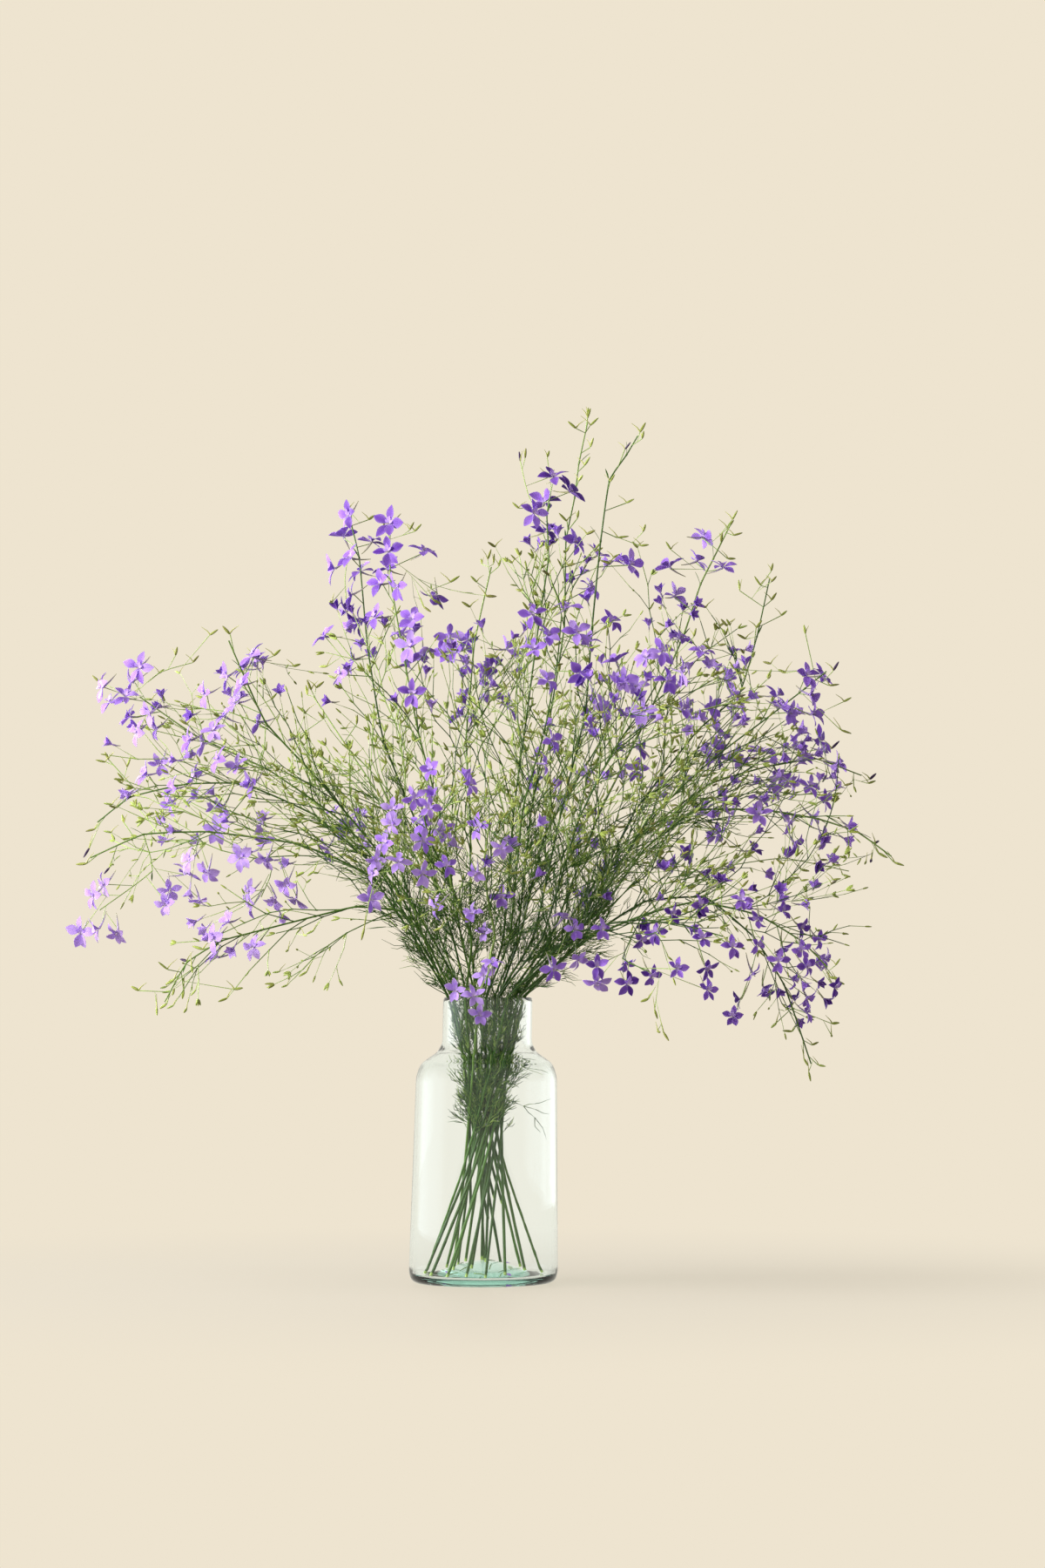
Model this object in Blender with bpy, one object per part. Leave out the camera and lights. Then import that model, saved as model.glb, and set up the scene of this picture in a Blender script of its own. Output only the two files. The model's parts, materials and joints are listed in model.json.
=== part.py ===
"""Forking larkspur, cut and stood loosely in a clear glass bottle vase.

Each cut stem is one grown piece: its wiry forking axis, its twigs, blooms, buds and the
thread leaves low on it. The stems cross at a waist below the neck, fan out to their cut
feet and stand as they lean. Lengths are in millimetres until the meshes are made.
"""

import math
import random

import bmesh
import bpy
from mathutils import Vector

MM = 0.001
SEED = 4171

# Bottle vase, blown glass, turned about an axis that leans a little to the right.
VASE_HEIGHT = 248.5
VASE_FOOT_RADIUS = 65.0
VASE_SHOULDER_RADIUS = 61.5
VASE_NECK_RADIUS = 39.0
VASE_WALL = 3.0
VASE_HUMP = 20.0
VASE_FLOOR = 6.0
VASE_LEAN = 0.016
VASE_SIDES = 28
VASE_OUTSIDE = (
    (57.0, 0.0),
    (63.0, 3.0),
    (VASE_FOOT_RADIUS, 10.0),
    (VASE_SHOULDER_RADIUS, 180.0),
    (57.5, 191.0),
    (43.0, 201.0),
    (VASE_NECK_RADIUS, 209.0),
    (VASE_NECK_RADIUS, 245.5),
    (38.0, VASE_HEIGHT),
)
VASE_BOWL = (
    (VASE_FOOT_RADIUS - VASE_WALL, 13.0),
    (60.8, 8.0),
    (57.0, VASE_FLOOR + 0.5),
    (50.0, VASE_FLOOR),
    (32.0, 13.0),
    (15.0, 18.5),
)
VASE_INSIDE = (
    (36.8, VASE_HEIGHT),
    (VASE_NECK_RADIUS - VASE_WALL, 245.5),
    (VASE_NECK_RADIUS - VASE_WALL, 207.0),
    (43.0, 198.0),
    (55.0, 187.0),
    (VASE_SHOULDER_RADIUS - VASE_WALL, 178.0),
) + VASE_BOWL

# The bunch: all the stems pass a narrow waist and lie on rulings that twist about it.
WAIST_HEIGHT = 143.0
WAIST_RADIUS = 15.1
WAIST_SPACING = 5.0
RULING = 0.0185
FOOT_SPREAD = 0.32
GATE_HEIGHT = 300.0
GATE_SCALE = 4.9
GATE_CENTRE = (18.0, 0.0)

# Sight readings on the front view: units across and down, the vase foot at (555, 1471).
UNIT = 0.762
SIGHT_X = 555.0
SIGHT_Y = 1471.0
EYE_DISTANCE = 3800.0
EYE_HEIGHT = 270.0

# Sizes of the plant.
STEM_FOOT = 1.4
STEM_RIM = 1.05
STEM_TOP = 0.68
FORK_RADIUS = 0.66
TWIG_RADIUS = 0.58
TWIG_LEAST = 0.42
PETAL_LENGTH = 13.0
PETAL_HALF_WIDTH = 3.4
PETAL_NOTCH = 5.0
PETAL_ANGLES = (90.0, 167.0, 247.0, 293.0, 13.0)
BACK_DEPTH = 1.7
SPUR_LENGTH = 17.0
BUD_LENGTH = 10.0
BUD_GIRTH = 1.7
LEAF_RADIUS = 0.5
CLEAR = 0.55
SEAT = 0.35

STEMS = (
    {
        "gate": (487, -8),
        "cut": 68.0,
        "reach": -30,
        "axis": ((455, 1020), (395, 945), (310, 885), (225, 845), (160, 800)),
        "blooms": (
            (159, 766), (151, 782), (117, 789), (126, 806), (143, 800), (149, 823), (172, 819), (157, 841),
            (180, 836),
        ),
        "tips": ((228, 752), (203, 742), (250, 722), (188, 768), (105, 775)),
    },
    {
        "gate": (497, -30),
        "reach": -70,
        "axis": ((440, 985), (365, 895), (305, 830), (275, 765), (262, 735)),
        "forks": ((2, ((300, 872), (240, 850))),),
        "blooms": (
            (289, 753), (281, 768), (260, 777), (278, 786), (235, 797), (271, 807), (257, 822), (298, 829),
            (244, 839), (219, 850), (235, 854), (251, 872), (273, 881), (291, 900),
        ),
        "tips": ((296, 742), (322, 745), (345, 762), (318, 795), (205, 826)),
    },
    {
        "gate": (480, 16),
        "cut": 76.0,
        "reach": 60,
        "axis": ((436, 1000), (360, 935), (280, 900), (215, 900), (150, 915), (112, 944)),
        "blooms": (
            (184, 876), (169, 890), (223, 891), (199, 906), (198, 922), (225, 916), (257, 925), (250, 952),
        ),
        "tips": ((120, 863), (113, 881), (132, 893), (125, 925), (150, 868), (96, 985)),
    },
    {
        "gate": (476, -22),
        "cut": 73.0,
        "reach": -10,
        "axis": ((430, 1010), (385, 985), (338, 968), (240, 955), (165, 958), (104, 985)),
        "forks": ((4, ((175, 1000), (115, 1045))), (3, ((312, 995), (300, 1030)))),
        "blooms": (
            (218, 988), (214, 1003), (239, 1001), (302, 970), (306, 986), (277, 984), (287, 1024),
            (289, 1040), (329, 1015), (340, 1032), (317, 1032), (120, 1016), (108, 1028), (195, 1022),
            (191, 1038), (229, 1034), (94, 1070), (114, 1066), (136, 1070),
        ),
        "tips": ((140, 935), (178, 930), (118, 1000)),
    },
    {
        "gate": (489, -45),
        "cut": 54.0,
        "reach": -120,
        "axis": ((460, 1046), (409, 1041), (362, 1052), (300, 1068), (255, 1080), (215, 1105), (190, 1150)),
        "blooms": (
            (263, 1059), (246, 1078), (250, 1099), (292, 1087),
        ),
        "tips": (
            (221, 1086), (207, 1101), (198, 1122), (229, 1115), (210, 1147), (184, 1158), (151, 1132),
            (280, 1134), (182, 1104),
        ),
    },
    {
        "gate": (520, 22),
        "reach": 40,
        "axis": ((478, 945), (440, 850), (422, 745), (412, 640), (400, 590)),
        "blooms": (
            (401, 589), (426, 621), (394, 615), (403, 640), (384, 652), (413, 655), (404, 682), (397, 702),
            (413, 713), (430, 708), (372, 730), (407, 757), (391, 774),
        ),
        "tips": ((378, 690), (430, 590), (440, 730), (366, 765)),
    },
    {
        "gate": (530, -25),
        "reach": -60,
        "axis": ((505, 935), (480, 840), (462, 745), (448, 665), (447, 610)),
        "blooms": (
            (447, 600), (446, 632), (444, 652), (438, 670), (456, 672), (486, 632), (501, 682), (473, 711),
            (462, 727), (470, 742), (484, 752), (474, 796),
        ),
        "tips": ((484, 600), (507, 693), (495, 702), (470, 600), (528, 660)),
    },
    {
        "gate": (540, 50),
        "reach": 140,
        "axis": ((540, 940), (535, 850), (540, 790), (545, 735), (564, 650)),
        "blooms": (
            (516, 731), (508, 750), (537, 734), (524, 748), (536, 762), (557, 772), (529, 821), (581, 745),
            (585, 812),
        ),
        "tips": ((564, 629), (575, 640), (552, 640), (540, 660)),
    },
    {
        "gate": (578, -6),
        "reach": -20,
        "axis": ((590, 930), (605, 820), (618, 720), (630, 640), (628, 590), (634, 555)),
        "blooms": (
            (636, 546), (654, 563), (625, 575), (613, 588), (625, 609),
        ),
        "tips": ((596, 516), (604, 512), (631, 515), (588, 575)),
    },
    {
        "gate": (585, -50),
        "reach": -130,
        "axis": ((600, 930), (625, 840), (640, 760), (645, 705)),
        "blooms": (
            (653, 695), (612, 705), (629, 730), (663, 726), (675, 737), (613, 745), (629, 781), (667, 772),
            (633, 850), (625, 877),
        ),
        "tips": ((600, 690), (690, 740)),
    },
    {
        "gate": (594, 20),
        "reach": 30,
        "axis": ((610, 930), (632, 820), (648, 720), (650, 620), (660, 570), (665, 530), (675, 483)),
        "blooms": (
            (659, 621), (686, 636), (678, 674),
        ),
        "tips": (
            (652, 481), (687, 486), (676, 465), (682, 500), (678, 522), (668, 554), (661, 584), (645, 595),
            (640, 640),
        ),
    },
    {
        "gate": (612, -14),
        "reach": -30,
        "axis": ((645, 930), (672, 820), (680, 720), (690, 620), (700, 550), (720, 520), (733, 498)),
        "blooms": (
            (724, 647), (702, 713), (694, 812), (680, 799), (679, 837),
        ),
        "tips": ((740, 492), (729, 571), (702, 553), (720, 608), (746, 624), (742, 600), (725, 505)),
    },
    {
        "gate": (632, 25),
        "reach": 50,
        "axis": ((690, 930), (745, 820), (785, 730), (805, 670), (820, 640), (840, 600)),
        "blooms": (
            (808, 615), (801, 643), (831, 650), (770, 650), (776, 683), (781, 732),
        ),
        "tips": ((844, 595), (854, 610), (828, 618), (846, 640), (765, 620)),
    },
    {
        "gate": (622, -42),
        "reach": -130,
        "axis": ((665, 940), (705, 860), (740, 810), (765, 765)),
        "blooms": (
            (807, 747), (761, 747), (742, 755), (708, 759), (717, 779), (730, 789), (767, 781), (783, 771),
            (719, 822), (740, 816), (784, 814),
        ),
        "tips": ((750, 720), (800, 720), (690, 770)),
    },
    {
        "gate": (597, 65),
        "reach": 180,
        "axis": ((625, 960), (660, 900), (690, 850), (705, 800)),
        "forks": ((1, ((660, 985), (685, 1005))),),
        "blooms": (
            (730, 883), (732, 858), (673, 890), (614, 896), (647, 918), (680, 935), (660, 970), (705, 990),
            (691, 1000), (671, 1029),
        ),
        "tips": ((715, 770), (700, 775), (640, 860)),
    },
    {
        "gate": (655, 5),
        "reach": 20,
        "axis": ((730, 930), (800, 840), (850, 795), (870, 730), (885, 662)),
        "blooms": (
            (836, 781), (816, 812), (818, 833), (852, 812), (823, 869),
        ),
        "tips": (
            (867, 660), (849, 664), (893, 660), (893, 679), (876, 711), (844, 764), (847, 727), (905, 700),
        ),
    },
    {
        "gate": (660, -28),
        "reach": -75,
        "axis": ((745, 940), (820, 870), (880, 825), (925, 790), (950, 770)),
        "blooms": (
            (893, 798), (927, 775), (945, 775), (930, 797), (906, 818), (933, 820), (918, 840),
        ),
        "tips": ((924, 716), (894, 768), (979, 800), (979, 842), (965, 785)),
    },
    {
        "gate": (650, 44),
        "reach": 110,
        "axis": ((735, 960), (815, 900), (880, 880), (935, 870), (990, 890)),
        "blooms": (
            (874, 862), (851, 875), (915, 859), (941, 850), (961, 876), (896, 893), (910, 901), (886, 905),
        ),
        "tips": ((965, 850), (945, 898), (998, 887), (984, 910), (870, 840)),
    },
    {
        "gate": (668, -10),
        "reach": -25,
        "axis": ((740, 975), (800, 930), (880, 930), (940, 940), (985, 955), (1024, 983)),
        "blooms": (
            (930, 902), (947, 919), (933, 937), (874, 918), (872, 935), (838, 934), (906, 944), (912, 967),
            (945, 962), (829, 919),
        ),
        "tips": ((1010, 965), (1020, 985), (1000, 990), (975, 985)),
    },
    {
        "gate": (542, -65),
        "cut": 64.0,
        "reach": -165,
        "axis": ((515, 1010), (492, 960), (480, 905)),
        "forks": ((1, ((470, 1000), (438, 992))),),
        "blooms": (
            (496, 883), (539, 901), (451, 929), (476, 916), (493, 926), (450, 945), (484, 946), (509, 954),
            (485, 965), (443, 968), (433, 986), (428, 1003), (458, 990), (425, 1033), (485, 1003),
        ),
        "tips": ((524, 899), (483, 880), (430, 950), (415, 1080)),
    },
    {
        "gate": (505, 48),
        "reach": 125,
        "axis": ((480, 990), (440, 920), (400, 860), (360, 800)),
        "blooms": (
            (385, 932), (416, 936), (395, 951), (376, 974),
        ),
        "tips": ((352, 780), (375, 790), (340, 810), (330, 850), (410, 820), (365, 900), (390, 890)),
    },
    {
        "gate": (568, -75),
        "reach": -210,
        "axis": ((560, 1030), (556, 990), (562, 945)),
        "forks": ((0, ((564, 1092), (560, 1118), (545, 1150))),),
        "blooms": (
            (551, 949), (576, 973), (513, 994), (548, 1001), (576, 1030), (500, 1041), (544, 1049),
            (557, 1071), (566, 1106), (556, 1120), (523, 1137), (544, 1144), (550, 1165),
        ),
        "tips": ((585, 930), (540, 925), (600, 1000)),
    },
    {
        "gate": (640, 62),
        "reach": 150,
        "axis": ((700, 990), (750, 950), (800, 930), (840, 905)),
        "forks": ((1, ((760, 1015), (830, 995), (900, 985), (975, 1000))),),
        "blooms": (
            (756, 901), (809, 930), (824, 955), (788, 980), (768, 991), (865, 976),
        ),
        "tips": ((981, 1001), (960, 985), (930, 1000), (800, 880), (860, 890)),
    },
    {
        "gate": (650, -62),
        "reach": -160,
        "axis": ((690, 1062), (735, 1056), (785, 1062), (830, 1075)),
        "forks": ((1, ((715, 1100), (745, 1115))),),
        "blooms": (
            (828, 1012), (852, 1034), (771, 1049), (804, 1039), (646, 1054), (660, 1067), (691, 1067),
            (753, 1072), (736, 1078), (807, 1077), (841, 1087), (663, 1102), (685, 1109), (718, 1104),
            (686, 1127), (720, 1129), (748, 1120), (777, 1112), (811, 1111), (812, 1136), (635, 1112),
        ),
        "tips": ((755, 1170), (768, 1195), (758, 1185), (735, 1150), (860, 1010)),
    },
    {
        "gate": (676, -35),
        "reach": -65,
        "axis": ((740, 1050), (800, 1035), (870, 1050), (920, 1080), (950, 1110)),
        "blooms": (
            (871, 1054), (869, 1084), (898, 1046), (919, 1064), (939, 1078), (898, 1087), (894, 1103),
            (921, 1090), (926, 1110), (946, 1101), (958, 1133),
        ),
        "tips": ((900, 1010), (935, 1030), (965, 1100), (970, 1130)),
    },
    {
        "gate": (674, 22),
        "reach": 60,
        "axis": ((740, 1035), (810, 1030), (865, 1075), (900, 1130), (931, 1221)),
        "blooms": (
            (864, 1117), (912, 1126), (876, 1133), (850, 1147), (842, 1167), (910, 1147), (926, 1144),
            (926, 1162),
        ),
        "tips": (
            (898, 1183), (964, 1174), (940, 1196), (928, 1224), (948, 1224), (885, 1180), (955, 1190),
        ),
    },
)


def place(x, y, depth):
    """The spot seen at a front-view reading, at a depth behind the vase axis."""
    k = (EYE_DISTANCE + depth) / EYE_DISTANCE
    across = (x - SIGHT_X) * UNIT
    height = (SIGHT_Y - y) * UNIT
    return Vector((across * k, depth, EYE_HEIGHT + (height - EYE_HEIGHT) * k))


def profile_radius(profile, height):
    """The radius of a turned profile at a height."""
    for (r0, z0), (r1, z1) in zip(profile, profile[1:]):
        low, high = min(z0, z1), max(z0, z1)
        if low <= height <= high and high > low:
            return r0 + (r1 - r0) * (height - z0) / (z1 - z0)
    return profile[0][0] if abs(height - profile[0][1]) < abs(height - profile[-1][1]) else profile[-1][0]


def floor_height(radius):
    """The height of the vase floor, humped in the middle, at a radius."""
    floor = ((0.0, VASE_HUMP),) + VASE_BOWL[::-1]
    for (r0, z0), (r1, z1) in zip(floor, floor[1:]):
        if radius <= r1:
            return z0 + (z1 - z0) * (radius - r0) / (r1 - r0)
    return floor[-1][1]


def segment_gap(p, q, a, b):
    """The shortest distance between the segments p-q and a-b."""
    ux, uy, uz = q[0] - p[0], q[1] - p[1], q[2] - p[2]
    vx, vy, vz = b[0] - a[0], b[1] - a[1], b[2] - a[2]
    wx, wy, wz = p[0] - a[0], p[1] - a[1], p[2] - a[2]
    uu = ux * ux + uy * uy + uz * uz
    vv = vx * vx + vy * vy + vz * vz
    uv = ux * vx + uy * vy + uz * vz
    uw = ux * wx + uy * wy + uz * wz
    vw = vx * wx + vy * wy + vz * wz
    bottom = uu * vv - uv * uv
    s = 0.0
    if bottom > 1e-9:
        s = min(1.0, max(0.0, (uv * vw - vv * uw) / bottom))
    t = (uv * s + vw) / vv if vv > 1e-9 else 0.0
    if t < 0.0 or t > 1.0:
        t = min(1.0, max(0.0, t))
        s = min(1.0, max(0.0, (uv * t - uw) / uu)) if uu > 1e-9 else 0.0
    dx = wx + ux * s - vx * t
    dy = wy + uy * s - vy * t
    dz = wz + uz * s - vz * t
    return math.sqrt(dx * dx + dy * dy + dz * dz)


class Room:
    """What is already there, as rounded bars, so that nothing grows through another stem."""

    CELL = 22.0

    def __init__(self):
        self.cells = {}
        self.bars = []

    def span(self, p, q, r):
        """The cells that a bar reaches."""
        low = [int(math.floor((min(p[i], q[i]) - r) / self.CELL)) for i in range(3)]
        high = [int(math.floor((max(p[i], q[i]) + r) / self.CELL)) for i in range(3)]
        for i in range(low[0], high[0] + 1):
            for j in range(low[1], high[1] + 1):
                for k in range(low[2], high[2] + 1):
                    yield i, j, k

    def add(self, bars, owner):
        """Take up the room of these bars."""
        for p, q, r in bars:
            number = len(self.bars)
            self.bars.append((tuple(p), tuple(q), r, owner))
            for cell in self.span(p, q, r):
                self.cells.setdefault(cell, []).append(number)

    def free(self, bars, owner, root=None, glass=True):
        """Whether these bars keep clear of the vase and of all else, their own root apart."""
        for place_in_list, (p, q, r) in enumerate(bars):
            if glass and meets_vase(p, q, r):
                return False
            seen = set()
            for cell in self.span(p, q, r + CLEAR):
                for number in self.cells.get(cell, ()):
                    if number in seen:
                        continue
                    seen.add(number)
                    a, b, other, whose = self.bars[number]
                    if whose == owner:
                        if root is None:
                            continue
                        if place_in_list == 0 and segment_gap(root, root, a, b) < other + 0.6:
                            continue
                        if segment_gap(p, q, a, b) < r + other:
                            return False
                    elif segment_gap(p, q, a, b) < r + other + CLEAR:
                        return False
        return True


def meets_vase(p, q, r):
    """Whether a bar touches the glass."""
    margin = r + 0.4
    if min(p[2], q[2]) > VASE_HEIGHT + margin:
        return False
    steps = max(1, int((q - p).length / 2.0))
    for i in range(steps + 1):
        at = p.lerp(q, i / steps)
        if at.z > VASE_HEIGHT + margin:
            continue
        away = math.hypot(at.x - VASE_LEAN * at.z, at.y)
        height = min(at.z, VASE_HEIGHT)
        inner = profile_radius(VASE_INSIDE, height) * math.cos(math.pi / VASE_SIDES)
        outer = profile_radius(VASE_OUTSIDE, height)
        if away < inner - margin:
            if at.z < floor_height(away) + 0.3:
                return True
            continue
        if away > outer + margin:
            continue
        return True
    return False


def across_any(direction):
    """A unit vector square to a direction."""
    other = Vector((0.0, 0.0, 1.0)) if abs(direction.z) < 0.9 else Vector((1.0, 0.0, 0.0))
    return direction.cross(other).normalized()


def bars_of(points, radii):
    """The bars that a path takes up."""
    return [(points[i], points[i + 1], max(radii[i], radii[i + 1])) for i in range(len(points) - 1)]


def waist_spots():
    """Where each stem passes the waist, from its gate, spread so that none touch."""
    turn = math.atan(RULING * (GATE_HEIGHT - WAIST_HEIGHT))
    spots = []
    for stem in STEMS:
        gate_x, gate_depth = stem["gate"]
        x = (gate_x - SIGHT_X) * UNIT - GATE_CENTRE[0]
        y = gate_depth - GATE_CENTRE[1]
        spots.append(
            [
                (x * math.cos(turn) + y * math.sin(turn)) / GATE_SCALE,
                (-x * math.sin(turn) + y * math.cos(turn)) / GATE_SCALE,
            ]
        )
    for _ in range(200):
        for i, one in enumerate(spots):
            for two in spots[i + 1:]:
                dx, dy = one[0] - two[0], one[1] - two[1]
                far = math.hypot(dx, dy) or 0.01
                if far < WAIST_SPACING:
                    push = 0.25 * (WAIST_SPACING - far) / far
                    one[0] += dx * push
                    one[1] += dy * push
                    two[0] -= dx * push
                    two[1] -= dy * push
            out = math.hypot(one[0], one[1])
            if out > WAIST_RADIUS:
                one[0] *= WAIST_RADIUS / out
                one[1] *= WAIST_RADIUS / out
    return spots


def ruled(spot, height):
    """The point of a stem's ruling at a height inside the vase."""
    rise = RULING * (height - WAIST_HEIGHT)
    if height < WAIST_HEIGHT:
        rise *= 1.0 + FOOT_SPREAD * (WAIST_HEIGHT - height) / WAIST_HEIGHT
    x = spot[0] - spot[1] * rise
    y = spot[1] + spot[0] * rise
    return Vector((x + VASE_LEAN * height, y, height))


def from_axis(at):
    """How far a point lies from the leaning axis of the vase."""
    return math.hypot(at.x - VASE_LEAN * at.z, at.y)


def foot_of(spot, cut_height):
    """Where a stem ends: cut short in mid-air, or stood on the vase floor."""
    level = max(cut_height, 32.0)
    while level > cut_height:
        foot = ruled(spot, level - 0.05)
        direction = (ruled(spot, 95.0) - foot).normalized()
        cut = ring(foot, direction, STEM_FOOT, 12, across_any(direction))
        if min(at.z - floor_height(from_axis(at)) for at in cut) < SEAT:
            break
        level -= 0.05
    return ruled(spot, level)


def over_rim(spot, gate):
    """A point where a stem that leans on the rim passes it, as near the glass as it can lie."""
    low = ruled(spot, 205.0)
    best = ruled(spot, 250.0)
    centre = Vector((VASE_LEAN * 250.0, 0.0, 250.0))
    out = best - centre
    for step in range(1, 200):
        at = centre + out * (1.0 + 0.002 * step)
        if meets_vase(low, at, STEM_FOOT) or meets_vase(at, gate, STEM_FOOT):
            break
        best = at
    return best


def stem_axis(rng, stem, spot, wander):
    """The main axis of a stem, from its cut foot to its top, and where its knots are."""
    cut_height = stem.get("cut", 0.0)
    foot = foot_of(spot, cut_height)
    points = [foot] + [ruled(spot, height) for height in (max(95.0, foot.z + 15.0), WAIST_HEIGHT, 205.0)]
    gate_x, gate_depth = stem["gate"]
    gate = Vector(((gate_x - SIGHT_X) * UNIT, gate_depth, GATE_HEIGHT))
    gate = gate + Vector((rng.uniform(-1, 1), rng.uniform(-1, 1), 0.0)) * wander
    points.append(over_rim(spot, gate) if cut_height else ruled(spot, 250.0))
    points.append(gate)
    first = len(points)
    route = stem["axis"]
    for i, (x, y) in enumerate(route):
        share = (i + 1) / len(route)
        depth = gate_depth + (stem["reach"] - gate_depth) * share
        depth += rng.uniform(-1, 1) * (5.0 + 2.0 * wander)
        points.append(place(x, y, depth))
    out = points[:first]
    knots = []
    side = 1.0
    for start, end in zip(points[first - 1:], points[first:]):
        pieces = max(1, round((end - start).length / 78.0))
        for i in range(1, pieces + 1):
            at = start.lerp(end, i / pieces)
            if i < pieces:
                tilt = across_any((end - start).normalized())
                at = at + tilt * side * rng.uniform(1.0, 2.6)
                side = -side
            out.append(at)
        knots.append(len(out) - 1)
    radii = []
    for i in range(len(out)):
        if i < 5:
            radii.append(STEM_FOOT + (STEM_RIM - STEM_FOOT) * i / 5)
        else:
            radii.append(STEM_RIM + (STEM_TOP - STEM_RIM) * (i - 5) / (len(out) - 6))
    if cut_height:
        outward = out[4] - Vector((VASE_LEAN * out[4].z, 0.0, out[4].z))
        outward.normalize()
        for _ in range(80):
            leaned = out[:4] + [out[4] + outward * 0.05] + out[5:]
            if not clears_vase(leaned, radii):
                break
            out = leaned
    return out, radii, knots


def clears_vase(points, radii):
    """Whether the three edges of a stem keep off the glass."""
    rings = path_rings(points[:7], radii, 3)
    for low, high in zip(rings[:6], rings[1:6]):
        for i in range(3):
            if meets_vase(low[i], high[i], SEAT - 0.4):
                return False
    return True


def twig_radii(parent, count):
    """A twig is thinner than what it grows from, so that its root sinks in whole."""
    size = min(TWIG_RADIUS, max(TWIG_LEAST, 0.66 * parent))
    return [min(size, 0.47 * parent)] + [size] * (count - 1)


def twig_path(rng, start, along, end):
    """A wiry twig that leaves along the growth and bends to its end."""
    span = end - start
    length = span.length
    steps = 1 if length < 54.0 else 2 if length < 115.0 else 3
    lead = along * 0.75 + span.normalized() * 0.7
    bend = start + lead.normalized() * length * 0.45
    square = across_any(span.normalized())
    side = rng.choice((-1.0, 1.0))
    points = [start]
    for i in range(1, steps):
        t = i / steps
        at = start * (1 - t) ** 2 + bend * 2 * t * (1 - t) + end * t * t
        points.append(at + square * side * rng.uniform(0.8, 2.4))
        side = -side
    points.append(end)
    return points


class Plant:
    """One cut stem with everything that grows on it."""

    def __init__(self, number, stem):
        self.number = number
        self.stem = stem
        self.axes = []
        self.twigs = []
        self.blooms = []
        self.buds = []
        self.leaves = []
        self.spots = []

    def add_spots(self, points, radii, first, last_free):
        """Offer places along a path where a twig can leave."""
        for i in range(max(0, first), len(points) - 1):
            start, end = points[i], points[i + 1]
            direction = (end - start).normalized()
            pieces = max(1, int((end - start).length / 14.0))
            for k in range(pieces):
                at = start.lerp(end, (k + 0.5) / pieces)
                if (at - points[-1]).length < last_free:
                    continue
                if i == 0 and first >= 0 and (at - points[0]).length < 6.0:
                    continue
                radius = radii[i] + (radii[i + 1] - radii[i]) * (k + 0.5) / pieces
                self.spots.append([at, direction, radius, 0])

    def best_spots(self, target, count):
        """The places that suit a twig to this target, best first."""
        priced = []
        for i, (at, direction, radius, used) in enumerate(self.spots):
            span = target - at
            length = span.length
            if length < 9.0 or length > 150.0:
                continue
            forward = direction.dot(span) / length
            price = length + 11.0 * used + 45.0 * max(0.0, 0.2 - forward) + 3.0 * max(0.0, 15.0 - length)
            price += 12.0 * max(0.0, forward - 0.93) / 0.07
            priced.append((price, i))
        priced.sort()
        return [i for _, i in priced[:count]]


def plan_axes(room, plants):
    """Lay the main axes, then the forks named for each stem."""
    spots = waist_spots()
    for plant, spot in zip(plants, spots):
        for attempt in range(400):
            rng = random.Random(SEED + 1000 * plant.number + attempt)
            wander = 0.0 if attempt == 0 else 1.0 + attempt * 0.05
            points, radii, knots = stem_axis(rng, plant.stem, spot, wander)
            if clears_vase(points, radii) and room.free(bars_of(points, radii), plant.number, None, False):
                break
        else:
            raise RuntimeError(f"stem {plant.number} finds no way through")
        room.add(bars_of(points, radii), plant.number)
        plant.axes.append((points, radii, knots))
        plant.add_spots(points, radii, 5, 4.0)
    for plant in plants:
        points, radii, knots = plant.axes[0]
        for knot, route in plant.stem.get("forks", ()):
            index = knots[knot] if knot else 5
            start = points[index]
            depth0 = start.y
            for attempt in range(300):
                rng = random.Random(SEED + 77000 + 1000 * plant.number + 10 * knot + attempt)
                path = [start]
                for i, (x, y) in enumerate(route):
                    share = (i + 1) / len(route)
                    depth = depth0 + (plant.stem["reach"] * 1.1 - depth0) * share
                    depth += rng.uniform(-1, 1) * (6.0 + attempt * 0.3)
                    if y > 1100:
                        depth = min(depth, -54.0) if plant.stem["reach"] < -200 else depth
                    end = place(x, y, depth)
                    gone = (end - path[-1]).length
                    if gone > 75.0:
                        middle = path[-1].lerp(end, 0.5)
                        path.append(middle + Vector((rng.uniform(-3, 3), rng.uniform(-3, 3), rng.uniform(-3, 3))))
                    path.append(end)
                sizes = [FORK_RADIUS + (TWIG_RADIUS - FORK_RADIUS) * i / (len(path) - 1) for i in range(len(path))]
                if room.free(bars_of(path, sizes), plant.number):
                    break
            else:
                continue
            room.add(bars_of(path, sizes), plant.number)
            plant.axes.append((path, sizes, []))
            plant.add_spots(path, sizes, 0, 4.0)


def nearest_depth(plant, x, y):
    """The depth of the stem's own axes nearest to a front-view reading."""
    best = (1e9, 0.0)
    for points, _, _ in plant.axes:
        for start, end in zip(points[5:] if len(points) > 6 else points, points[6:] if len(points) > 6 else points[1:]):
            for k in range(5):
                at = start.lerp(end, k / 4.0)
                spot = place(x, y, at.y)
                best = min(best, ((spot - at).length, at.y))
    return best[1]


def bloom_frame(face, lean):
    """The bloom's own axes: its face, and the way its upper sepal points."""
    up = Vector((0.0, 0.0, 1.0)) + lean
    up = up - face * up.dot(face)
    if up.length < 0.2:
        up = across_any(face)
    up.normalize()
    return up, up.cross(face).normalized()


def petal_tips(centre, face, up, side, size, cup):
    """The five sepal tips: one upright, two to the sides and two below."""
    tips = []
    for degrees, lift in zip(PETAL_ANGLES, cup):
        angle = math.radians(degrees)
        out = side * math.cos(angle) + up * math.sin(angle)
        tips.append(centre + out * size + face * lift)
    return tips


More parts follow.
